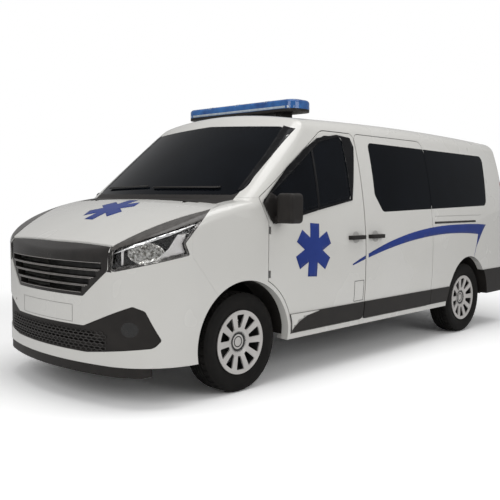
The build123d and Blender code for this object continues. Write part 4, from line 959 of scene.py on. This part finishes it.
# Tyres: moulded rubber with four grooves round the tread and short slots across its shoulders.
# Each is a full ring seated on its rim.
SIDEWALL = (
    (0.204, 0.0805), (0.225, 0.0865), (0.253, 0.0995), (0.278, 0.1025), (0.312, 0.0975), (0.330, 0.0845),
)
TREAD_RADIUS = 0.336
TREAD_HALF = 0.0605
TREAD_INNER = 0.331
SMOOTH_RADIUS = 0.32
GROOVES = (-0.042, -0.0145, 0.0145, 0.042)
GROOVE_HALF = 0.0045
GROOVE_FLOOR_HALF = 0.6 * GROOVE_HALF
GROOVE_DEEP = 0.008
TYRE_STEPS = 120
SLOT_EVERY = 3
SLOT_WALL = 0.0035
SLOT_DEEP = 0.005
tyre_rubber = blotched(
    "tyre_rubber", (0.004, 0.0036, 0.0033), (0.010, 0.009, 0.008),
    patch=14, rough=(0.6, 0.8), grain=260, relief=0.0005, sockets={"Specular IOR Level": 0.2},
)
section = [(radius, -half) for radius, half in SIDEWALL] + [(TREAD_RADIUS, -TREAD_HALF)]
for groove in GROOVES:
    section.append((TREAD_RADIUS, groove - GROOVE_HALF))
    section.append((TREAD_RADIUS - GROOVE_DEEP, groove - GROOVE_FLOOR_HALF))
    section.append((TREAD_RADIUS - GROOVE_DEEP, groove + GROOVE_FLOOR_HALF))
    section.append((TREAD_RADIUS, groove + GROOVE_HALF))
section += [(TREAD_RADIUS, TREAD_HALF)] + [(radius, half) for radius, half in reversed(SIDEWALL)]
for corner in CORNERS:
    tyre_hub = hub_of(corner + "_tyre")
    tread = bmesh.new()
    profile = [tread.verts.new(tyre_hub + Vector((0, across, radius))) for radius, across in section]
    edges = [tread.edges.new((profile[spot - 1], profile[spot])) for spot in range(len(profile))]
    bmesh.ops.spin(
        tread, geom=profile + edges, cent=tyre_hub, axis=(0, 1, 0), angle=2 * math.pi, steps=TYRE_STEPS,
        use_merge=True,
    )
    bmesh.ops.remove_doubles(tread, verts=tread.verts[:], dist=MERGE)
    bmesh.ops.recalc_face_normals(tread, faces=tread.faces[:])
    slots = []
    for face in tread.faces:
        spoke = face.calc_center_median() - tyre_hub
        step = round(math.atan2(spoke.z, spoke.x) / (2 * math.pi) * TYRE_STEPS - 0.5)
        outward = math.hypot(spoke.x, spoke.z)
        on_shoulder = outward > TREAD_INNER and abs(spoke.y) > GROOVES[-1] + GROOVE_HALF
        face.smooth = outward < SMOOTH_RADIUS
        if on_shoulder and step % SLOT_EVERY == 0:
            slots.append(face)
    bmesh.ops.inset_individual(tread, faces=slots, thickness=SLOT_WALL, depth=-SLOT_DEEP)
    tread_ring = add_piece(corner + "_tread", tread, tyre_rubber, corner + "_wheel")
    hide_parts(corner + "_tyre")


# Photo studio: a white floor that keeps the shadow, a white surround and soft overhead lamps.
# Far from the object the floor fades into the background for the camera.
FLOOR_HALF = 60.0
FLOOR_TONE = 0.8
FLOOR_ROUGH = 0.9
FLOOR_SHINE = 0.1
SEEN_TONE = 1.35
FADE_START = 2.6
FADE_END = 5.2
floor_mesh = bpy.data.meshes.new("studio_floor")
sweep = bmesh.new()
bmesh.ops.create_grid(sweep, x_segments=1, y_segments=1, size=FLOOR_HALF)
sweep.to_mesh(floor_mesh)
sweep.free()
studio_floor = bpy.data.objects.new("studio_floor", floor_mesh)
bpy.context.scene.collection.objects.link(studio_floor)

floor_paint = bpy.data.materials.new("floor_paint")
floor_paint.use_nodes = True
floor_tree = floor_paint.node_tree
matt = floor_tree.nodes["Principled BSDF"]
matt.inputs["Roughness"].default_value = FLOOR_ROUGH
matt.inputs["Specular IOR Level"].default_value = FLOOR_SHINE
floor_rays = floor_tree.nodes.new("ShaderNodeLightPath")
tone = floor_tree.nodes.new("ShaderNodeMixRGB")
tone.inputs["Color1"].default_value = (FLOOR_TONE, FLOOR_TONE, FLOOR_TONE, 1)
tone.inputs["Color2"].default_value = (SEEN_TONE, SEEN_TONE, SEEN_TONE, 1)
floor_tree.links.new(floor_rays.outputs["Is Camera Ray"], tone.inputs["Fac"])
floor_tree.links.new(tone.outputs["Color"], matt.inputs["Base Color"])
floor_place = floor_tree.nodes.new("ShaderNodeTexCoord")
distance = floor_tree.nodes.new("ShaderNodeVectorMath")
distance.operation = "LENGTH"
fade = floor_tree.nodes.new("ShaderNodeMapRange")
fade.interpolation_type = "SMOOTHSTEP"
fade.inputs["From Min"].default_value = FADE_START
fade.inputs["From Max"].default_value = FADE_END
seen_far = floor_tree.nodes.new("ShaderNodeMath")
seen_far.operation = "MULTIPLY"
glow = floor_tree.nodes.new("ShaderNodeEmission")
blend = floor_tree.nodes.new("ShaderNodeMixShader")
floor_tree.links.new(floor_place.outputs["Object"], distance.inputs[0])
floor_tree.links.new(distance.outputs["Value"], fade.inputs["Value"])
floor_tree.links.new(fade.outputs["Result"], seen_far.inputs[0])
floor_tree.links.new(floor_rays.outputs["Is Camera Ray"], seen_far.inputs[1])
floor_tree.links.new(seen_far.outputs["Value"], blend.inputs["Fac"])
floor_tree.links.new(matt.outputs["BSDF"], blend.inputs[1])
floor_tree.links.new(glow.outputs["Emission"], blend.inputs[2])
floor_tree.links.new(blend.outputs["Shader"], floor_tree.nodes["Material Output"].inputs["Surface"])
floor_mesh.materials.append(floor_paint)

SURROUND = 0.40
BACKGROUND = 1.0
world = bpy.data.worlds.new("studio")
bpy.context.scene.world = world
world.use_nodes = True
sky_tree = world.node_tree
sky = sky_tree.nodes["Background"]
sky.inputs["Color"].default_value = (1, 1, 1, 1)
sky_rays = sky_tree.nodes.new("ShaderNodeLightPath")
seen = sky_tree.nodes.new("ShaderNodeMath")
seen.operation = "MAXIMUM"
level = sky_tree.nodes.new("ShaderNodeMapRange")
level.inputs["To Min"].default_value = SURROUND
level.inputs["To Max"].default_value = BACKGROUND
sky_tree.links.new(sky_rays.outputs["Is Camera Ray"], seen.inputs[0])
sky_tree.links.new(sky_rays.outputs["Is Transmission Ray"], seen.inputs[1])
sky_tree.links.new(seen.outputs["Value"], level.inputs["Value"])
sky_tree.links.new(level.outputs["Result"], sky.inputs["Strength"])

LAMPS = (
    ("roof_softbox", (0.5, 1.0, 6.5), (0, 0, 0.5), (7.0, 3.5), 172),
    ("front_softbox", (6.5, 1.5, 3.6), (1.5, 0, 0.8), (3.0, 3.0), 72),
    ("side_softbox", (0.5, 7.0, 3.4), (0, 0, 0.8), (4.5, 2.5), 84),
)
for name, place, aim, size, watts in LAMPS:
    lamp = bpy.data.lights.new(name, "AREA")
    lamp.shape = "RECTANGLE"
    lamp.size, lamp.size_y = size
    lamp.energy = watts
    softbox = bpy.data.objects.new(name, lamp)
    bpy.context.scene.collection.objects.link(softbox)
    softbox.location = place
    softbox.rotation_euler = (Vector(aim) - Vector(place)).to_track_quat("-Z", "Y").to_euler()


# Camera: where the photograph was taken from, ahead and to the left at chest height.
# It has no shift and everything is in focus.
CAMERA_PLACE = (4.893, 4.168, 1.306)
CAMERA_HEADING = math.radians(-136.2)
CAMERA_TILT = math.radians(-4.31)
CAMERA_ROLL = math.radians(0.42)
FRAME_PIXELS = 500
FOCAL_PIXELS = 706.6
SENSOR_MM = 36.0
lens = bpy.data.cameras.new("camera")
lens.sensor_width = SENSOR_MM
lens.lens = FOCAL_PIXELS / FRAME_PIXELS * SENSOR_MM
camera = bpy.data.objects.new("camera", lens)
bpy.context.scene.collection.objects.link(camera)
heading = Matrix.Rotation(CAMERA_HEADING - math.pi / 2, 4, "Z")
tilt = Matrix.Rotation(math.pi / 2 + CAMERA_TILT, 4, "X")
roll = Matrix.Rotation(CAMERA_ROLL, 4, "Z")
camera.matrix_world = Matrix.Translation(CAMERA_PLACE) @ heading @ tilt @ roll
bpy.context.scene.camera = camera
bpy.context.scene.view_settings.view_transform = "Standard"
